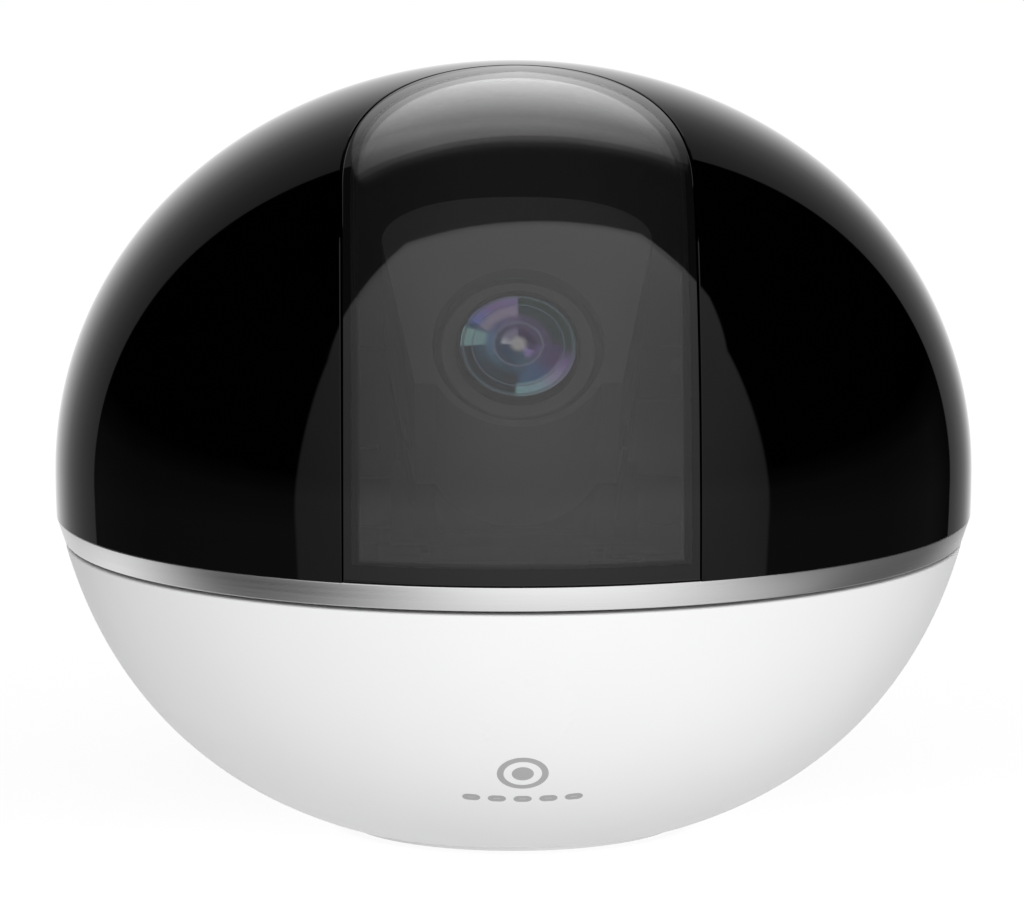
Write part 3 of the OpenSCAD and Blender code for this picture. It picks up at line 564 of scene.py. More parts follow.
# Where one ring gives way to the next, and the painted highlight lines between (place, width, tint), by
# radius
COATING_AND_PAINTED_REFLECTION_STEPS = ((0.27, 0.33), (0.40, 0.43), (0.52, 0.62), (0.72, 0.78))
PAINTED_HIGHLIGHT_LINES = (
    (0.42, 0.03, (0.32, 0.38, 0.52)), (0.79, 0.018, (0.24, 0.30, 0.42)), (0.955, 0.035, (0.2, 0.28, 0.34))
)
# How strongly the painted highlight lines show
PAINTED_HIGHLIGHT_STRENGTH = 0.75


def lens_glass():
    """Coated lens: rings of coating tints with painted reflections of the studio's lights, changing round
    the axis, a painted highlight in the middle, and thin painted highlight lines between.
    """
    m = Nodes("lens_glass")
    x, y, _ = m.axes(m.coords)
    turn = m.math("FRACT", m.math("ARCTAN2", y, x) / (2 * math.pi) + 1.0)
    ripple = (m.noise(260, detail=2) - 0.5) * 0.008
    radius = m.math("SQRT", x ** 2 + y ** 2) / GLASS_R + ripple
    tables = (COATING_AND_PAINTED_REFLECTION_CORE, COATING_AND_PAINTED_REFLECTION_RIM, COATING_AND_PAINTED_REFLECTION_INNER, COATING_AND_PAINTED_REFLECTION_MIDDLE, COATING_AND_PAINTED_REFLECTION_OUTER)
    # painted reflection: each ring's colour by angle is the coating tint with the studio's lights painted in
    bands = [m.ramp(turn, stops) for stops in tables]
    # painted highlight: a bright spot in the middle of the lens
    colour = m.mix(m.spread(radius, 1.0, 0.0, 0.09, 0.18), bands[0], (*PAINTED_HIGHLIGHT_CENTRE, 1), data_type="RGBA")
    for band, (start, end) in zip(bands[1:], COATING_AND_PAINTED_REFLECTION_STEPS):
        colour = m.mix(m.spread(radius, 0.0, 1.0, start, end), colour, band, data_type="RGBA")
    # painted highlights: thin bright lines between the rings
    for place, width, tint in PAINTED_HIGHLIGHT_LINES:
        gap = abs(radius - place)
        strength = m.spread(gap, PAINTED_HIGHLIGHT_STRENGTH, 0.0, width * 0.4, width)
        colour = m.mix(strength, colour, (*tint, 1), data_type="RGBA")
    m.colour(colour)
    m.rough(m.spread(m.noise(900), 0.15, 0.2))
    m.bump(m.noise(400, detail=2), 0.0002 * MM)
    m.set(Metallic=1.0)
    return m.material


MATERIALS = {
    "white_gloss": white_gloss(),
    "black_gloss": black_gloss(),
    "smoked_window": smoked((0.48, 0.48, 0.485)),
    "silver_trim": silver_trim(),
    "dark_plastic": moulded("dark_plastic", (0.012, 0.012, 0.012), 0.6, grain_depth=0.004 * MM),
    "grey_plastic": moulded("grey_plastic", (0.09, 0.09, 0.095), 0.55, grain_depth=0.02 * MM),
    # Painted shade: acetal is kept near black, darker than the bare material, so the parts inside the dome
    # stay dark
    "acetal": moulded("acetal", (0.03, 0.03, 0.031), 0.45),
    "foot_rubber": moulded(
        "foot_rubber", (0.78, 0.78, 0.78), 0.7, grain=1200, grain_depth=0.02 * MM, mottle=0.04
    ),
    # Painted shade: steel is far darker than bare steel, so the parts inside the dome stay dark
    "steel": metal("steel", (0.075, 0.075, 0.077), 0.4),
    "tinned_steel": metal("tinned_steel", (0.09, 0.09, 0.093), 0.4, grain=400),
    "brass": metal("brass", (0.72, 0.5, 0.2), 0.25),
    "circuit_board": board(),
    "adhesive": moulded("adhesive", (0.004, 0.004, 0.004), 0.6, mottle=0.2),
    "cable": moulded("cable", (0.015, 0.015, 0.015), 0.5, mottle=0.15),
    "diffuser": moulded("diffuser", (0.895, 0.897, 0.9), 0.3, grain_depth=0.001 * MM, mottle=0.01, ior=1.22),
    "lens_glass": lens_glass(),
    "filter_glass": coated("filter_glass", (0.25, 0.04, 0.06), (0.35, 0.06, 0.08)),
    "chip": moulded("chip", (0.012, 0.012, 0.014), 0.35),
    "led_epoxy": coated("led_epoxy", (0.5, 0.5, 0.53), (0.62, 0.62, 0.66), roughness=0.12, ior=1.5),
    "gold_foil": metal("gold_foil", (0.75, 0.52, 0.2), 0.3),
    "face_black": moulded("face_black", (0.115, 0.115, 0.117), 0.6, grain_depth=0.002 * MM, ior=1.3),
    "mark_ink": moulded("mark_ink", (0.43, 0.43, 0.43), 0.55, grain_depth=0.001 * MM, mottle=0.03, ior=1.22),
    "bezel_grey": moulded("bezel_grey", (0.17, 0.158, 0.15), 0.6, grain_depth=0.002 * MM, ior=1.3),
}
SLOT_OF = {s["node"]: s["material_slot"] for s in frame["record"]["subparts"]}


def paint(obj, slot):
    obj.data.materials.clear()
    obj.data.materials.append(MATERIALS[slot])


def finish_piece(obj, slot, body, *nodes):
    """Gives a new piece the material of a slot and its body, and hides the CAD nodes that it stands for."""
    paint(obj, slot)
    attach(obj, body)
    if nodes:
        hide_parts(*nodes)
    return obj


# ---- dome and window ----

S_RIM = 1 + (EQUATOR_Z - RIM_Z) / RIM_SLOPE


def plan_to_map(x, y):
    """Plan position on the dome, above the equator, as a point of the flat map (s, azimuth)."""
    s = dome_s(math.hypot(x, y))
    a = math.atan2(y, x)
    return Vector((s * math.cos(a), s * math.sin(a)))


def map_to_dome(point, inset):
    return dome_point(point.length, math.atan2(point.y, point.x), inset)


def arch_outline(half, length, side_steps=70, arc_steps=150, s_low=None):
    """Map points along an arch: up from the rim on the +X side, over, and down to the -X side."""
    s_low = S_RIM if s_low is None else s_low
    s_high = dome_s(math.hypot(half, ARCH_SHOULDER))
    right = []
    for i in range(side_steps):
        s = s_low + (s_high - s_low) * i / side_steps
        p = dome_point(s, 0, 0)
        a = -math.acos(half / p.x)
        right.append(Vector((s * math.cos(a), s * math.sin(a))))
    arc = []
    for i in range(arc_steps + 1):
        t = math.pi * i / arc_steps
        arc.append(plan_to_map(half * math.cos(t), ARCH_SHOULDER + length * math.sin(t)))
    left = [Vector((-p.x, p.y)) for p in reversed(right)]
    return right + arc + left


def rim_outline(start, end, count, s=None):
    """Map points along the rim between two azimuths."""
    s = S_RIM if s is None else s
    turns = [start + (end - start) * i / (count - 1) for i in range(count)]
    return [Vector((s * math.cos(a), s * math.sin(a))) for a in turns]


def blend_rows(outer, inner, steps):
    """Rows of map points from one outline to another."""
    return [[a.lerp(b, j / steps) for a, b in zip(outer, inner)] for j in range(steps + 1)]


EDGE = [(0.45 * MM, 0.0), (0.2 * MM, 0.02 * MM), (0.08 * MM, 0.07 * MM), (0.0, 0.18 * MM)]


def shifted(outline, distance):
    """Outline moved sideways by a distance in metres, measured on the surface."""
    moved = []
    n = len(outline)
    for i, p in enumerate(outline):
        ahead, behind = outline[min(n - 1, i + 1)], outline[max(0, i - 1)]
        along = (ahead - behind).normalized()
        across = Vector((along.y, -along.x))
        moved.append(p + across * distance / (DOME_R * 1.45))
    return moved


def dome_shell():
    """Black shell, open at the arch, with rounded edges along the seam and the ledge behind it."""
    half = ARCH_HALF + SEAM / 2
    arch = arch_outline(half, ARCH_LENGTH + SEAM / 2)
    count = len(arch)
    corner = math.atan2(arch[0].y, arch[0].x)
    rim = rim_outline(corner, math.pi - corner, count)
    rows = []
    surface = blend_rows(rim, shifted(arch, EDGE[0][0]), 90)
    rows += [[map_to_dome(p, 0) for p in row] for row in surface]
    for distance, depth in EDGE[1:]:
        rows.append([map_to_dome(p, depth) for p in shifted(arch, distance)])
    rows.append([map_to_dome(p, SEAT_DEPTH) for p in arch])
    ledge = arch_outline(CLEAR_HALF, CLEAR_LENGTH)
    rows.append([map_to_dome(p, SEAT_DEPTH) for p in ledge])
    rows.append([map_to_dome(p, LEDGE_BACK) for p in ledge])
    rows.append([map_to_dome(p, LEDGE_BACK) for p in shifted(arch, 2.4 * MM)])
    inner = blend_rows(shifted(arch, 2.5 * MM), rim, 60)
    rows += [[map_to_dome(p, DOME_WALL) for p in row] for row in inner]
    obj = rows_mesh("dome_body", rows, wrap_rows=True, cap_columns=True)
    clean(obj)
    surface_shading(obj, dome_normal)
    return finish_piece(obj, "black_gloss", "pan_head", "dome_shell")


def closed_window_outline(half, length, s_low, bottom_steps=60):
    """Map points right round the window: an arch and the stretch of rim that closes it."""
    arch = arch_outline(half, length, s_low=s_low)
    start = math.atan2(arch[-1].y, arch[-1].x)
    end = math.atan2(arch[0].y, arch[0].x)
    bottom = rim_outline(start, end, bottom_steps, s=s_low)
    return arch + bottom[1:-1]


def window():
    """Smoked panel with rounded edges, solid through its thickness."""
    s_low = S_RIM - 0.1 * MM / RIM_SLOPE
    outline = closed_window_outline(ARCH_HALF - SEAM / 2, ARCH_LENGTH - SEAM / 2, s_low)
    centre = Vector((0, -0.56))     # middle of the panel on the flat map
    hub = 0.0005                    # the smallest ring, as a share of the outline
    steps = 70
    rows = []

    def ring(factor, inset):
        return [map_to_dome(centre.lerp(p, factor), inset) for p in outline]

    edge_factors = [1 - d / (DOME_R * 0.55) for d, _ in EDGE]
    for j in range(steps + 1):
        rows.append(ring(hub + (edge_factors[0] - hub) * (j / steps), 0))
    for factor, (_, depth) in list(zip(edge_factors, EDGE))[1:]:
        rows.append(ring(factor, depth))
    rows.append(ring(1, PANEL_T - 0.1 * MM))
    for j in range(steps // 2 + 1):
        rows.append(ring(0.995 * (1 - j / (steps // 2)) + hub, PANEL_T))
    obj = rows_mesh("window_visor", rows, wrap_columns=True, cap_rows=True)
    clean(obj)
    surface_shading(obj, dome_normal)
    return finish_piece(obj, "smoked_window", "pan_head", "window_panel")


def window_border():
    """Black tape frame behind the panel's edge, which darkens a band inside the seam."""
    outer = closed_window_outline(ARCH_HALF - SEAM, ARCH_LENGTH - SEAM, S_RIM - 0.15 * MM / RIM_SLOPE)
    s_inner = 1 + (EQUATOR_Z - CLEAR_BOTTOM_Z) / RIM_SLOPE
    inner = closed_window_outline(CLEAR_HALF, CLEAR_LENGTH, s_inner)
    rows = [
        [map_to_dome(p, PANEL_T + 0.02 * MM) for p in outer],
        [map_to_dome(p, PANEL_T + 0.02 * MM) for p in inner],
        [map_to_dome(p, SEAT_DEPTH) for p in inner],
        [map_to_dome(p, SEAT_DEPTH) for p in outer],
    ]
    obj = rows_mesh("window_tape", rows, wrap_rows=True, wrap_columns=True)
    clean(obj)
    surface_shading(obj, dome_normal)
    return finish_piece(obj, "adhesive", "pan_head", "window_adhesive")


def lower_ledge():
    """The dome's ledge under the window, joining the two sides of the arch behind the panel."""
    s_high = 1 + (EQUATOR_Z - CLEAR_BOTTOM_Z) / RIM_SLOPE
    corner = math.acos((ARCH_HALF + 1 * MM) / DOME_R)
    rows = []
    for s, inset in ((S_RIM, SEAT_DEPTH), (s_high, SEAT_DEPTH), (s_high, LEDGE_BACK), (S_RIM, LEDGE_BACK)):
        rows.append([map_to_dome(p, inset) for p in rim_outline(-math.pi + corner, -corner, 80, s=s)])
    obj = rows_mesh("dome_ledge", rows, wrap_rows=True, cap_columns=True)
    clean(obj)
    surface_shading(obj, dome_normal)
    return finish_piece(obj, "black_gloss", "pan_head")


def trim_ring():
    """Silver ring under the dome's rim, with softened corners."""
    inner = 50.4 * MM
    bottom = ring_low.z
    outer_low = 52.9 * MM
    outer_top = DOME_R - RIM_DROP
    corner = 0.22 * MM
    profile = round_profile([
        (inner, bottom), (outer_low, bottom), (outer_top, RIM_Z), (inner, RIM_Z)
    ], corner)
    obj = lathe("trim_band", profile, segments=360)
    smooth_by_angle(obj, 40)
    return finish_piece(obj, "silver_trim", "pan_head", "trim_ring")


# ---- base ----

def cut(target, tool):
    """Cuts one mesh out of another and removes the tool."""
    boolean = target.modifiers.new("cut", "BOOLEAN")
    boolean.operation = "DIFFERENCE"
    boolean.solver = "EXACT"
    boolean.object = tool
    evaluated = target.evaluated_get(bpy.context.evaluated_depsgraph_get())
    baked = bpy.data.meshes.new_from_object(evaluated)
    target.modifiers.clear()
    old = target.data
    target.data = baked
    baked.name = old.name
    bpy.data.meshes.remove(old)
    bpy.data.objects.remove(tool)


def bowl_profile(z_low, z_high, steps, inset=0.0):
    """Points (radius, height) up the bowl's surface, or at a depth under it."""
    points = []
    drops = [(BOWL_CENTRE_Z - z) / BOWL_B for z in (z_low, z_high)]
    angle_low, angle_high = (math.asin(drop ** (BOWL_POWER / 2)) for drop in drops)
    for i in range(steps + 1):
        t = angle_low + (angle_high - angle_low) * i / steps
        r = BOWL_A * math.cos(t) ** (2 / BOWL_POWER)
        z = BOWL_CENTRE_Z - BOWL_B * math.sin(t) ** (2 / BOWL_POWER)
        n = bowl_normal(Vector((r, 0, z)))
        points.append((r - n.x * inset, z - n.z * inset))
    return points


def pole(radius, start, end, segments):
    """Cylinder between two points, as a cutting tool."""
    turn = (end - start).to_track_quat("Z", "Y").to_matrix().to_4x4()
    turn.translation = start
    rows = [circle(radius, segments, z) for z in (0, (end - start).length)]
    obj = rows_mesh("tool", rows, wrap_columns=True, cap_rows=True)
    clean(obj)
    obj.data.transform(turn)
    return obj


def slot_tool(width, height, corner, y_start, y_end, centre_z, turn):
    """Rounded rectangular tool along +Y, turned about Z."""
    outline = []
    for sx, sz, start in ((1, 1, 0), (-1, 1, 90), (-1, -1, 180), (1, -1, 270)):
        for k in range(7):
            a = math.radians(start + 15 * k)
            x = sx * (width / 2 - corner) + corner * math.cos(a)
            outline.append((x, sz * (height / 2 - corner) + corner * math.sin(a)))
    rows = [[Vector((x, y, centre_z + z)) for x, z in outline] for y in (y_start, y_end)]
    obj = rows_mesh("tool", rows, wrap_columns=True, cap_rows=True)
    clean(obj)
    obj.data.transform(Matrix.Rotation(turn, 4, "Z"))
    return obj


def bowl_frame(direction, z, tilt_down):
    """Matrix whose +Z leaves the bowl's surface at a height and direction."""
    spin = Matrix.Rotation(direction, 4, "Z")
    place = Matrix.Translation((bowl_radius(z), 0, z))
    tilt = Matrix.Rotation(math.pi / 2 + tilt_down, 4, "Y")
    return spin @ place @ tilt


SPEAKER_FRAME = bowl_frame(math.radians(135), 13 * MM, math.radians(43.5))
STATUS_FRAME = bowl_frame(math.radians(-90), 22 * MM, math.radians(29))
STATUS_R = 6.2 * MM
STATUS_LIFT = 0.012 * MM
STATUS_GAP = 0.012 * MM
GRILLE_RINGS = 3               # one hole in the middle, then six more in each ring
GRILLE_PITCH = 2.4 * MM
GRILLE_HOLE_R = 0.6 * MM
USB_OPENING = (12 * MM, 7 * MM, 1.5 * MM)        # width, height and corner radius
CARD_SLOT = (12.6 * MM, 2.1 * MM, 0.5 * MM)
CARD_SLOT_Z = 10.55 * MM
CARD_SLOT_TURN = math.radians(-35)


def base_bowl():
    """Glossy white bowl, with the power opening, card slot, speaker grille and the light's round seat."""
    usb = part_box("usb_power_inlet")
    lip = 0.35 * MM
    outer = bowl_profile(BOWL_BOTTOM_Z, BOWL_TOP_Z - lip, 70)
    top_r = bowl_radius(BOWL_TOP_Z)
    inner = bowl_profile(6.7 * MM, BOWL_TOP_Z - 1 * MM, 40, BOWL_WALL)
    profile = (
        [(COVER_R, COVER_SEAT_Z), (COVER_R, BOWL_BOTTOM_Z + 0.1 * MM), (COVER_R + 0.1 * MM, BOWL_BOTTOM_Z)]
        + outer
        + [(top_r - 0.07 * MM, BOWL_TOP_Z - 0.12 * MM), (top_r - 0.2 * MM, BOWL_TOP_Z - 0.03 * MM)]
        + [(top_r - 0.4 * MM, BOWL_TOP_Z), (top_r - BOWL_WALL, BOWL_TOP_Z)]
        + list(reversed(inner))
        + [(26 * MM, BOWL_FLOOR_Z), (BOWL_HOLE_R, BOWL_FLOOR_Z), (BOWL_HOLE_R, COVER_SEAT_Z)]
    )
    obj = lathe("bowl_body", profile, segments=288)
    usb_z = usb[0].z + 1.5 * MM
    cut(obj, slot_tool(*USB_OPENING, 30 * MM, 60 * MM, usb_z, 0))
    cut(obj, slot_tool(*CARD_SLOT, 32 * MM, 52 * MM, CARD_SLOT_Z, CARD_SLOT_TURN))
    for ring in range(GRILLE_RINGS):
        for at in circle(GRILLE_PITCH * ring, max(1, 6 * ring)):
            start, end = (SPEAKER_FRAME @ (at + Vector((0, 0, z))) for z in (-6 * MM, 6 * MM))
            cut(obj, pole(GRILLE_HOLE_R, start, end, 20))
    start, end = (STATUS_FRAME @ Vector((0, 0, z)) for z in (-8 * MM, 6 * MM))
    cut(obj, pole(STATUS_R + STATUS_GAP, start, end, 128))
    surface_shading(obj, bowl_normal)
    return finish_piece(obj, "white_gloss", "base", "base_bowl")


def bowl_miss(p):
    """How far p is outside the bowl's surface, near enough for points close to it."""
    n = bowl_normal(p)
    return (math.hypot(p.x, p.y) - bowl_radius(p.z)) * math.hypot(n.x, n.y)


def conformed_disc(rings, segments, frame_matrix, lift):
    """Rows of points on the bowl's surface around a frame's axis: rings are radii."""
    axis = (frame_matrix.to_3x3() @ Vector((0, 0, 1))).normalized()
    rows = []
    for r in rings:
        row = []
        for q in circle(r, segments):
            q = frame_matrix @ q
            for _ in range(6):
                q = q - axis * (bowl_miss(q) / bowl_normal(q).dot(axis))
            row.append(q + bowl_normal(q) * lift)
        rows.append(row)
    return rows


def status_window():
    """Round flush window in the front of the bowl, following its curve."""
    segments = 128
    lip = STATUS_R + 0.1 * MM
    rings = [0.001 * MM] + [STATUS_R * k / 16 for k in range(1, 17)]
    rows = conformed_disc(rings, segments, STATUS_FRAME, STATUS_LIFT)
    rows += conformed_disc([lip], segments, STATUS_FRAME, STATUS_LIFT * 0.1)
    rows += conformed_disc([STATUS_R], segments, STATUS_FRAME, -0.3 * MM)
    rows += conformed_disc([STATUS_R, 0.001 * MM], segments, STATUS_FRAME, -BOWL_WALL)
    obj = rows_mesh("status_lens", rows, wrap_columns=True)
    clean(obj)
    surface_shading(obj, bowl_normal)
    return finish_piece(obj, "diffuser", "base", "status_window")


def rubber_foot():
    """White rubber ring that the camera stands on."""
    inner, outer, top = 16.5 * MM, foot_high.x, foot_high.z
    profile = round_profile([(inner, 0), (outer, 0), (outer, top), (inner, top)], 0.5 * MM)
    obj = lathe("foot_ring", profile, segments=200)
    smooth_by_angle(obj, 50)
    return finish_piece(obj, "foot_rubber", "base", "rubber_foot")


dome_shell()
lower_ledge()
window()
window_border()
trim_ring()
base_bowl()
status_window()
rubber_foot()


# ---- tilt head ----

TILT_FRAME = Matrix.Translation((0, 0, TILT_Z)) @ Matrix.Rotation(-LENS_ELEVATION, 4, "X")
LENS_FRAME = TILT_FRAME @ Matrix.Rotation(math.pi / 2, 4, "X")


def lens_parts():
    """Barrel, front glass and the flat ring round the lens, as fine lathed pieces."""
    reach = LENS_REACH
    barrel = round_profile([
        (6 * MM, 18 * MM), (6 * MM, 31 * MM), (LENS_HEAD_R, 31 * MM), (LENS_HEAD_R, reach - 0.12 * MM),
        (LENS_HEAD_R - 0.1 * MM, reach), (GLASS_R + 0.1 * MM, reach), (GLASS_R + 0.04 * MM, GLASS_EDGE_Z),
        (GLASS_R + 0.04 * MM, 35.5 * MM), (5 * MM, 35.5 * MM), (5 * MM, 34.6 * MM), (4 * MM, 34.2 * MM),
        (4 * MM, 33 * MM), (3 * MM, 32.7 * MM), (3 * MM, 29 * MM), (4.5 * MM, 27 * MM), (4.5 * MM, 18 * MM),
    ], 0.03 * MM, steps=2)
    obj = lathe("lens_tube", barrel, segments=160, axis_frame=LENS_FRAME)
    smooth_by_angle(obj, 25)
    finish_piece(obj, "dark_plastic", "tilt_head", "lens_barrel")
    hole = FACE_HOLE_R - 0.2 * MM
    bezel = round_profile([
        (GROOVE_R, COLLAR_BACK), (GROOVE_R, COLLAR_FRONT - 0.15 * MM), (GROOVE_R - 0.15 * MM, COLLAR_FRONT),
        (COLLAR_INNER_R, COLLAR_FRONT), (COLLAR_INNER_R, COLLAR_BACK)
    ], 0.08 * MM)
    obj = lathe("lens_collar", bezel, segments=160, axis_frame=LENS_FRAME)
    smooth_by_angle(obj, 30)
    finish_piece(obj, "bezel_grey", "tilt_head", "lens_bezel")
    groove = round_profile([
        (hole, COLLAR_BACK), (hole, GASKET_FRONT), (GROOVE_R + 0.02 * MM, GASKET_FRONT),
        (GROOVE_R + 0.02 * MM, COLLAR_BACK)
    ], 0.1 * MM)
    obj = lathe("lens_gasket", groove, segments=160, axis_frame=LENS_FRAME)
    smooth_by_angle(obj, 30)
    finish_piece(obj, "dark_plastic", "tilt_head")
    rise, low = GLASS_RISE, GLASS_EDGE_Z
    cap_r = (GLASS_R ** 2 + rise ** 2) / (2 * rise)
    glass = [(1e-5, 36.2 * MM), (GLASS_R, 36.2 * MM), (GLASS_R, low)]
    for i in range(1, 33):
        r = GLASS_R * (1 - i / 32) + 1e-5
        glass.append((r, low + rise - cap_r + math.sqrt(cap_r ** 2 - r ** 2)))
    obj = lathe("lens_front", glass, segments=160)
    flat = Vector((0, 0, 1))
    centre = Vector((0, 0, low + rise - cap_r))

    def normal_at(p):
        return flat if p.z < low else ((p - centre).normalized() * 0.6 + flat * 0.4).normalized()

    surface_shading(obj, normal_at, 0.9)
    obj.matrix_world = LENS_FRAME
    finish_piece(obj, "lens_glass", "tilt_head", "front_lens")


# ---- printed mark on the bowl: a plain target and five short dashes ----

MARK_CENTRE = Vector((0.25 * MM, -41.9 * MM, 13.5 * MM))
DASH_CENTRE = Vector((0.3 * MM, -38.2 * MM, 9.8 * MM))
INK_LIFT = 0.012 * MM
INK_DEPTH = 0.05 * MM
DASHES = 5
DASH_PITCH = 2.95 * MM
DASH_SIZE = (2.1 * MM, 1.35 * MM)


def ink_frame(centre):
    """Matrix on the bowl at a point, with X to the right and Y up along the surface."""
    out = bowl_normal(centre)
    right = Vector((-centre.y, centre.x, 0)).normalized()
    up = out.cross(right)
    matrix = Matrix((right, up, out)).transposed().to_4x4()
    matrix.translation = centre
    return matrix


def ink(name, rows, matrix):
    """Thin printed shape from rows of flat points, laid on the bowl."""
    def laid(u, v, lift):
        p = matrix @ Vector((u, v, 0))
        for _ in range(4):
            p = p - bowl_normal(p) * bowl_miss(p)
        return p + bowl_normal(p) * lift

    top = [[laid(u, v, INK_LIFT) for u, v in row] for row in rows]
    low = [[laid(u, v, -INK_DEPTH) for u, v in row] for row in reversed(rows)]
    obj = rows_mesh(name, top + low, wrap_rows=True, wrap_columns=True)
    clean(obj)
    surface_shading(obj, bowl_normal)
    obj.data.materials.append(MATERIALS["mark_ink"])
    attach(obj, "base")


def circle_row(radius, count=96):
    return [(p.x, p.y) for p in circle(radius, count)]


def pill_row(width, height, shift, factor, count=12):
    """Outline of a flat pill, shrunk by a factor towards its middle line."""
    h = height / 2 * factor
    w = width / 2 - height / 2
    row = []
    for side, start in ((1, -90), (-1, 90)):
        for i in range(count):
            a = math.radians(start + 180 * i / (count - 1))
            row.append((shift + side * w + h * math.cos(a), h * math.sin(a)))
    return row


def printed_mark():
    matrix = ink_frame(MARK_CENTRE)
    ink("mark_ring", [circle_row(r * MM) for r in (2.95, 2.6, 2.2)], matrix)
    ink("mark_dot", [circle_row(r * MM) for r in (1.25, 0.8, 0.4, 0.02)], matrix)
    matrix = ink_frame(DASH_CENTRE)
    for i in range(DASHES):
        shift = (i - (DASHES - 1) / 2) * DASH_PITCH
        rows = [pill_row(*DASH_SIZE, shift, factor) for factor in (1.0, 0.6, 0.05)]
        ink(f"mark_dash_{i}", rows, matrix)


printed_mark()
lens_parts()

for node, obj in frame["nodes"].items():
    if not obj.hide_render:
        paint(obj, SLOT_OF[node])


# ---- studio ----

CAMERA_DISTANCE = 1008.5 * MM
CAMERA_ELEVATION = math.radians(9.0524)
CAMERA_AZIMUTH = math.radians(-1.0575)
CAMERA_ROLL = math.radians(0.0546)
CAMERA_LENS = 300.5            # millimetres, on a sensor 36 wide
CAMERA_SHIFT = (-0.001465, 0.012764)   # shares of the picture's width


def camera():
    """Camera at the photograph's viewing angle, aimed at the dome's equator."""
    data = bpy.data.cameras.new("camera")
    data.lens = CAMERA_LENS
    data.sensor_width = 36
    data.shift_x, data.shift_y = CAMERA_SHIFT
    data.clip_start = 0.05
    data.clip_end = 50
    obj = bpy.data.objects.new("camera", data)
    bpy.context.scene.collection.objects.link(obj)
    target = Vector((0, 0, EQUATOR_Z))
    level = Vector((math.sin(CAMERA_AZIMUTH), -math.cos(CAMERA_AZIMUTH), 0))
    away = level * math.cos(CAMERA_ELEVATION) + Vector((0, 0, math.sin(CAMERA_ELEVATION)))
    obj.location = target + away * CAMERA_DISTANCE
    look = (-away).to_track_quat("-Z", "Y").to_matrix().to_4x4()
    turned = look @ Matrix.Rotation(-CAMERA_ROLL, 4, "Z")
    obj.matrix_world = Matrix.Translation(obj.location) @ turned
    bpy.context.scene.camera = obj


FLOOR_HALF = 4.0
FLOOR_GLOW = 0.89


def floor():
    """Pale paper that is nearly self-lit, so only a faint contact shadow shows."""
    corners = [(x * FLOOR_HALF, y * FLOOR_HALF, 0) for x, y in ((-1, -1), (1, -1), (1, 1), (-1, 1))]
    obj = new_object("floor", corners, [(0, 1, 2, 3)])
    m = Nodes("floor_paper")
    m.colour(m.ramp(m.noise(3, detail=2), [(0.3, (0.19, 0.19, 0.19)), (0.7, (0.21, 0.21, 0.21))]))
    m.rough(m.spread(m.noise(20), 0.7, 0.8))
    m.set(Specular_IOR_Level=0.0, Emission_Strength=FLOOR_GLOW)
    m.shader.inputs["Emission Color"].default_value = (1, 1, 1, 1)
    obj.data.materials.append(m.material)
    obj.visible_glossy = False
    obj.visible_diffuse = False


class World(Tree):
    """The studio around the object, as a function of direction."""

    def __init__(self):
        world = bpy.data.worlds.new("studio")
        bpy.context.scene.world = world
        super().__init__(world)
        self.x, self.y, self.z = self.axes(self.add("ShaderNodeTexCoord").outputs["Generated"])
        # place on a flat wall behind the object, as shares of the distance to it
        back = self.math("MAXIMUM", self.y, 0.001)
        self.across, self.above = self.x / back, self.z / back

    def curve(self, value, points):
        """Piecewise linear function of a value, as a chain of map ranges on its breakpoints."""
        total = points[0][1]
        for (x0, y0), (x1, y1) in zip(points, points[1:]):
            step = self.add("ShaderNodeMapRange", clamp=True)
            for key, level in (("From Min", x0), ("From Max", x1), ("To Min", 0.0), ("To Max", y1 - y0)):
                step.inputs[key].default_value = level
            self.link(value, step.inputs["Value"])
            total = self.math("ADD", total, step.outputs[0])
        return total

    def blend(self, factor, a, b):
        """Value a where the factor is 0, and b where it is 1."""
        return a * (1.0 - factor) + b * factor

    def oval(self, right_width, left_width, height):
        """Distance from the middle of the wall, where 1 is an oval that is wider on one side."""
        left = self.math("LESS_THAN", self.x, 0.0)
        width = left * (left_width - right_width) + right_width
        return self.math("SQRT", abs(self.across / width) ** 2 + abs(self.above / height) ** 2)


def bright_sweep(w):
    """Bright sweep behind the object, centred on +Y and wider on the left, with a firm oval edge."""
    glow = w.curve(w.oval(0.47, 0.6, 0.62), [
        (0.0, 1.05), (0.4, 1.0), (0.55, 0.92), (0.7, 0.78), (0.85, 0.62), (1.0, 0.46), (1.2, 0.35),
        (1.5, 0.26), (1.8, 0.215), (2.4, 0.19)
    ])
    return glow * w.curve(w.oval(0.84, 1.19, 1.73), [(0.985, 1.0), (1.0, 0.0)])


COLUMN_X = 0.024
CORE_LEVEL = 0.73
MARGIN_LEVEL = 0.5
UPPER_LEVEL = 0.93
CORE_SIDE = (0.414, 0.304, 0.97)      # half width far up, height of the tip, and power
MARGIN_SIDE = (0.396, 0.154, 1.17)
SIDE_REACH = 0.6               # height over which the sides straighten


def column_half(w, width, tip, power):
    """Half width of the column by height: it opens from a tip and its sides straighten out."""
    climb = w.math("MAXIMUM", w.above - tip, 0.0) / SIDE_REACH
    return (1.0 - w.math("EXPONENT", climb ** power * -1.0)) * width


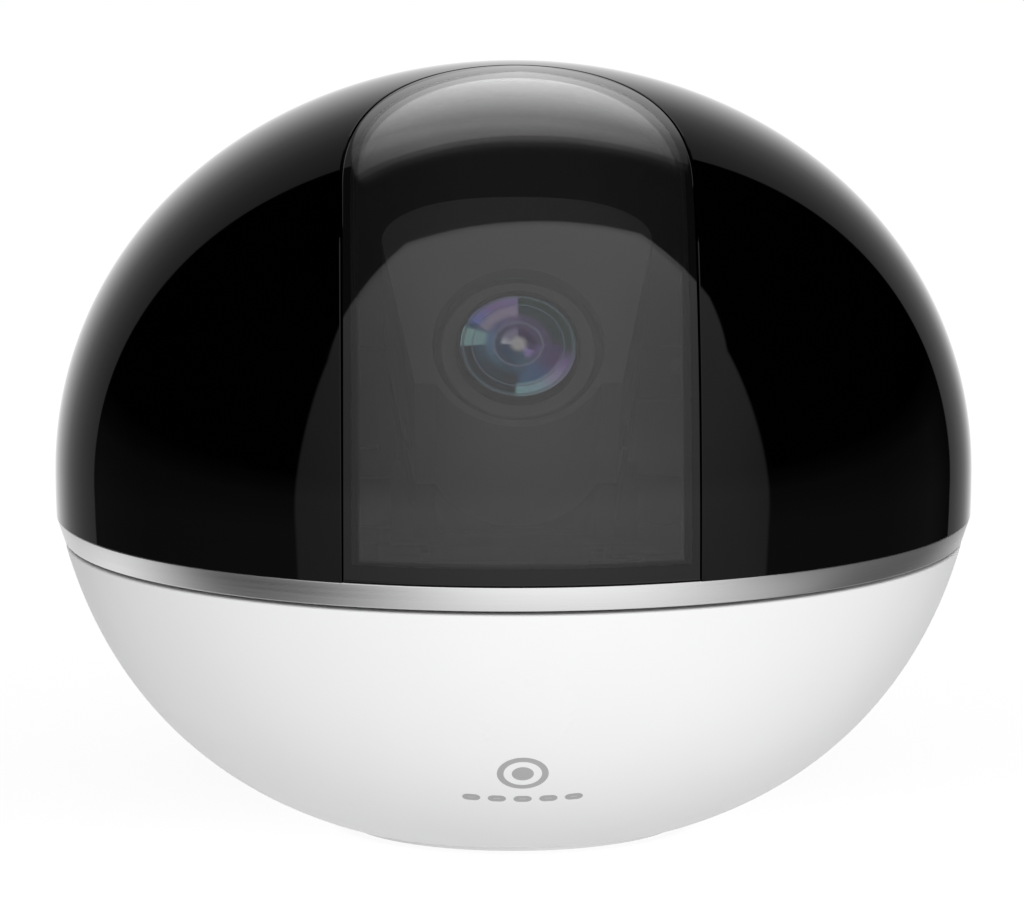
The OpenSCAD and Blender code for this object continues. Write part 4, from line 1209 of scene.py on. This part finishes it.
def bright_column(w):
    """Column in the middle of the sweep, which shows as the light patch on the window's top.

    It has a dim margin and a bright core, and its lower edge fades in two steps.
    """
    aside = abs(w.x - COLUMN_X)
    core = w.curve(column_half(w, *CORE_SIDE) - aside, [(-0.003, 0.0), (0.003, 1.0), (0.04, 1.08)])
    margin = w.curve(column_half(w, *MARGIN_SIDE) - aside, [(-0.003, 0.0), (0.003, 1.0)])
    bright = w.curve(w.above, [
        (0.41, 2.6), (0.63, 2.35), (0.9, 1.86), (1.08, 1.49), (1.13, 1.62), (1.24, 1.6), (1.38, 1.22),
        (1.7, 1.0)
    ])
    lower = w.curve(w.across, [(-0.8, 1.78), (-0.6, 1.67), (-0.24, 1.575), (0.34, 1.45), (0.67, 1.33)])
    fade = w.curve(w.above - lower, [
        (-0.014, 1.0), (0.014, 0.43), (0.15, 0.38), (0.18, 0.085), (0.35, 0.045), (0.42, 0.0)
    ])
    # the patch dims towards both ends of its lower half, most on the right
    ends = w.curve(w.across, [(-0.65, 0.5), (-0.3, 0.88), (0.1, 0.88), (0.4, 0.65), (0.6, 0.3)])
    low_half = w.curve(w.above, [(0.72, 0.0), (0.95, 1.0)])
    ends = low_half * (ends - UPPER_LEVEL) + UPPER_LEVEL
    column = w.math("MAXIMUM", core * CORE_LEVEL, margin * MARGIN_LEVEL)
    return column * bright * ends * fade * w.math("GREATER_THAN", w.y, 0.02)


def pale_table(w):
    """Table top, mirrored by faces that look down, darker at the sides and behind."""
    front = w.curve(w.x, [
        (-0.9, 0.05), (-0.75, 0.085), (-0.64, 0.16), (-0.31, 0.71), (-0.17, 0.86), (0.0, 0.94),
        (0.3, 0.95), (0.47, 0.88), (0.62, 0.69), (0.73, 0.48), (0.82, 0.25), (0.9, 0.15)
    ])
    back = w.curve(w.y - w.x * 0.45, [(0.3, 0.1), (0.49, 0.2), (0.7, 0.6), (0.9, 1.0)])
    return w.blend(w.curve(w.y, [(0.0, 1.0), (0.2, 0.0)]), back, front)


BOX_EDGE = (0.0741, -0.4908)   # the soft box's back edge across the view, (slope, place)
BOX_RISE = (2.4, 0.44)         # and how it moves back with height, (power, factor)
BOX_SIDES = ((0.757, 0.227), (0.105, -0.006), (-0.52, 0.254))


def soft_box(w):
    """Large soft box in front: everything ahead of a line that moves back with height."""
    slope, place = BOX_EDGE
    power, factor = BOX_RISE
    edge = w.x * slope + place + abs(w.z) ** power * factor
    # overhead its outline has straight sides: a left, a top and a right one, each (slope, height)
    sides = [w.x * slope + w.z * height for slope, height in BOX_SIDES]
    panel = w.math("MINIMUM", w.math("MINIMUM", sides[0], sides[1]), sides[2])
    overhead = w.curve(w.z, [(0.6, 0.0), (0.76, 1.0)])
    edge = edge + w.math("MAXIMUM", panel - edge, 0.0) * overhead
    inside = w.curve(edge - w.y, [(-0.006, 0.0), (0.006, 1.0)])
    by_height = w.curve(w.z, [
        (-0.25, 0.7), (-0.15, 0.78), (0.0, 0.93), (0.3, 1.0), (0.6, 0.98), (0.9, 1.0), (1.0, 0.92)
    ])
    by_side = w.curve(w.x, [
        (-0.9, 0.4), (-0.7, 0.56), (-0.3, 0.88), (-0.1, 0.97), (0.1, 1.0), (0.35, 0.97), (0.6, 0.82),
        (0.75, 0.76), (0.83, 0.66), (0.9, 0.5)
    ])
    return inside * by_height * by_side


def horizon(w):
    """Dim band at the far edge of the table, strongest in front."""
    band = w.curve(w.z, [(-0.15, 0.17), (-0.04, 0.12), (0.0, 0.11), (0.04, 0.06), (0.08, 0.03), (0.11, 0.0)])
    return band * w.curve(w.y, [(-0.5, 1.0), (-0.3, 0.92), (0.25, 0.49), (0.6, 0.32), (0.78, 0.05)])


FILL = 0.594                   # soft fill light: its mean level, and what each direction adds
FILL_FRONT = 0.77
FILL_TOP = 0.036
FILL_RIGHT = 0.155


def soft_fill(w):
    """Soft light for the white parts: strongest from the front, a little stronger from the right."""
    fill = w.curve(w.y, [(-1.0, FILL + FILL_FRONT), (1.0, FILL - FILL_FRONT)])
    return w.math("MAXIMUM", fill + w.z * FILL_TOP + w.x * FILL_RIGHT, 0.0)


def studio():
    """White for the camera, the room with its lights for reflections, and a soft fill for the rest."""
    w = World()
    room = w.math("MAXIMUM", bright_sweep(w), bright_column(w)) + soft_box(w) + horizon(w)
    down = w.curve(w.z, [(-0.42, 1.0), (-0.24, 0.0)])
    path = w.add("ShaderNodeLightPath")
    mirrored = w.blend(down, room, pale_table(w))
    light = w.mix(path.outputs["Is Glossy Ray"], soft_fill(w), mirrored, data_type="FLOAT")
    light = w.mix(path.outputs["Is Camera Ray"], light, 1.0, data_type="FLOAT")
    background = w.add("ShaderNodeBackground")
    out = w.add("ShaderNodeOutputWorld")
    w.link(light, background.inputs["Color"])
    w.link(background.outputs[0], out.inputs["Surface"])


camera()
floor()
studio()
bpy.context.scene.view_settings.view_transform = "Standard"
bpy.context.scene.view_settings.look = "None"
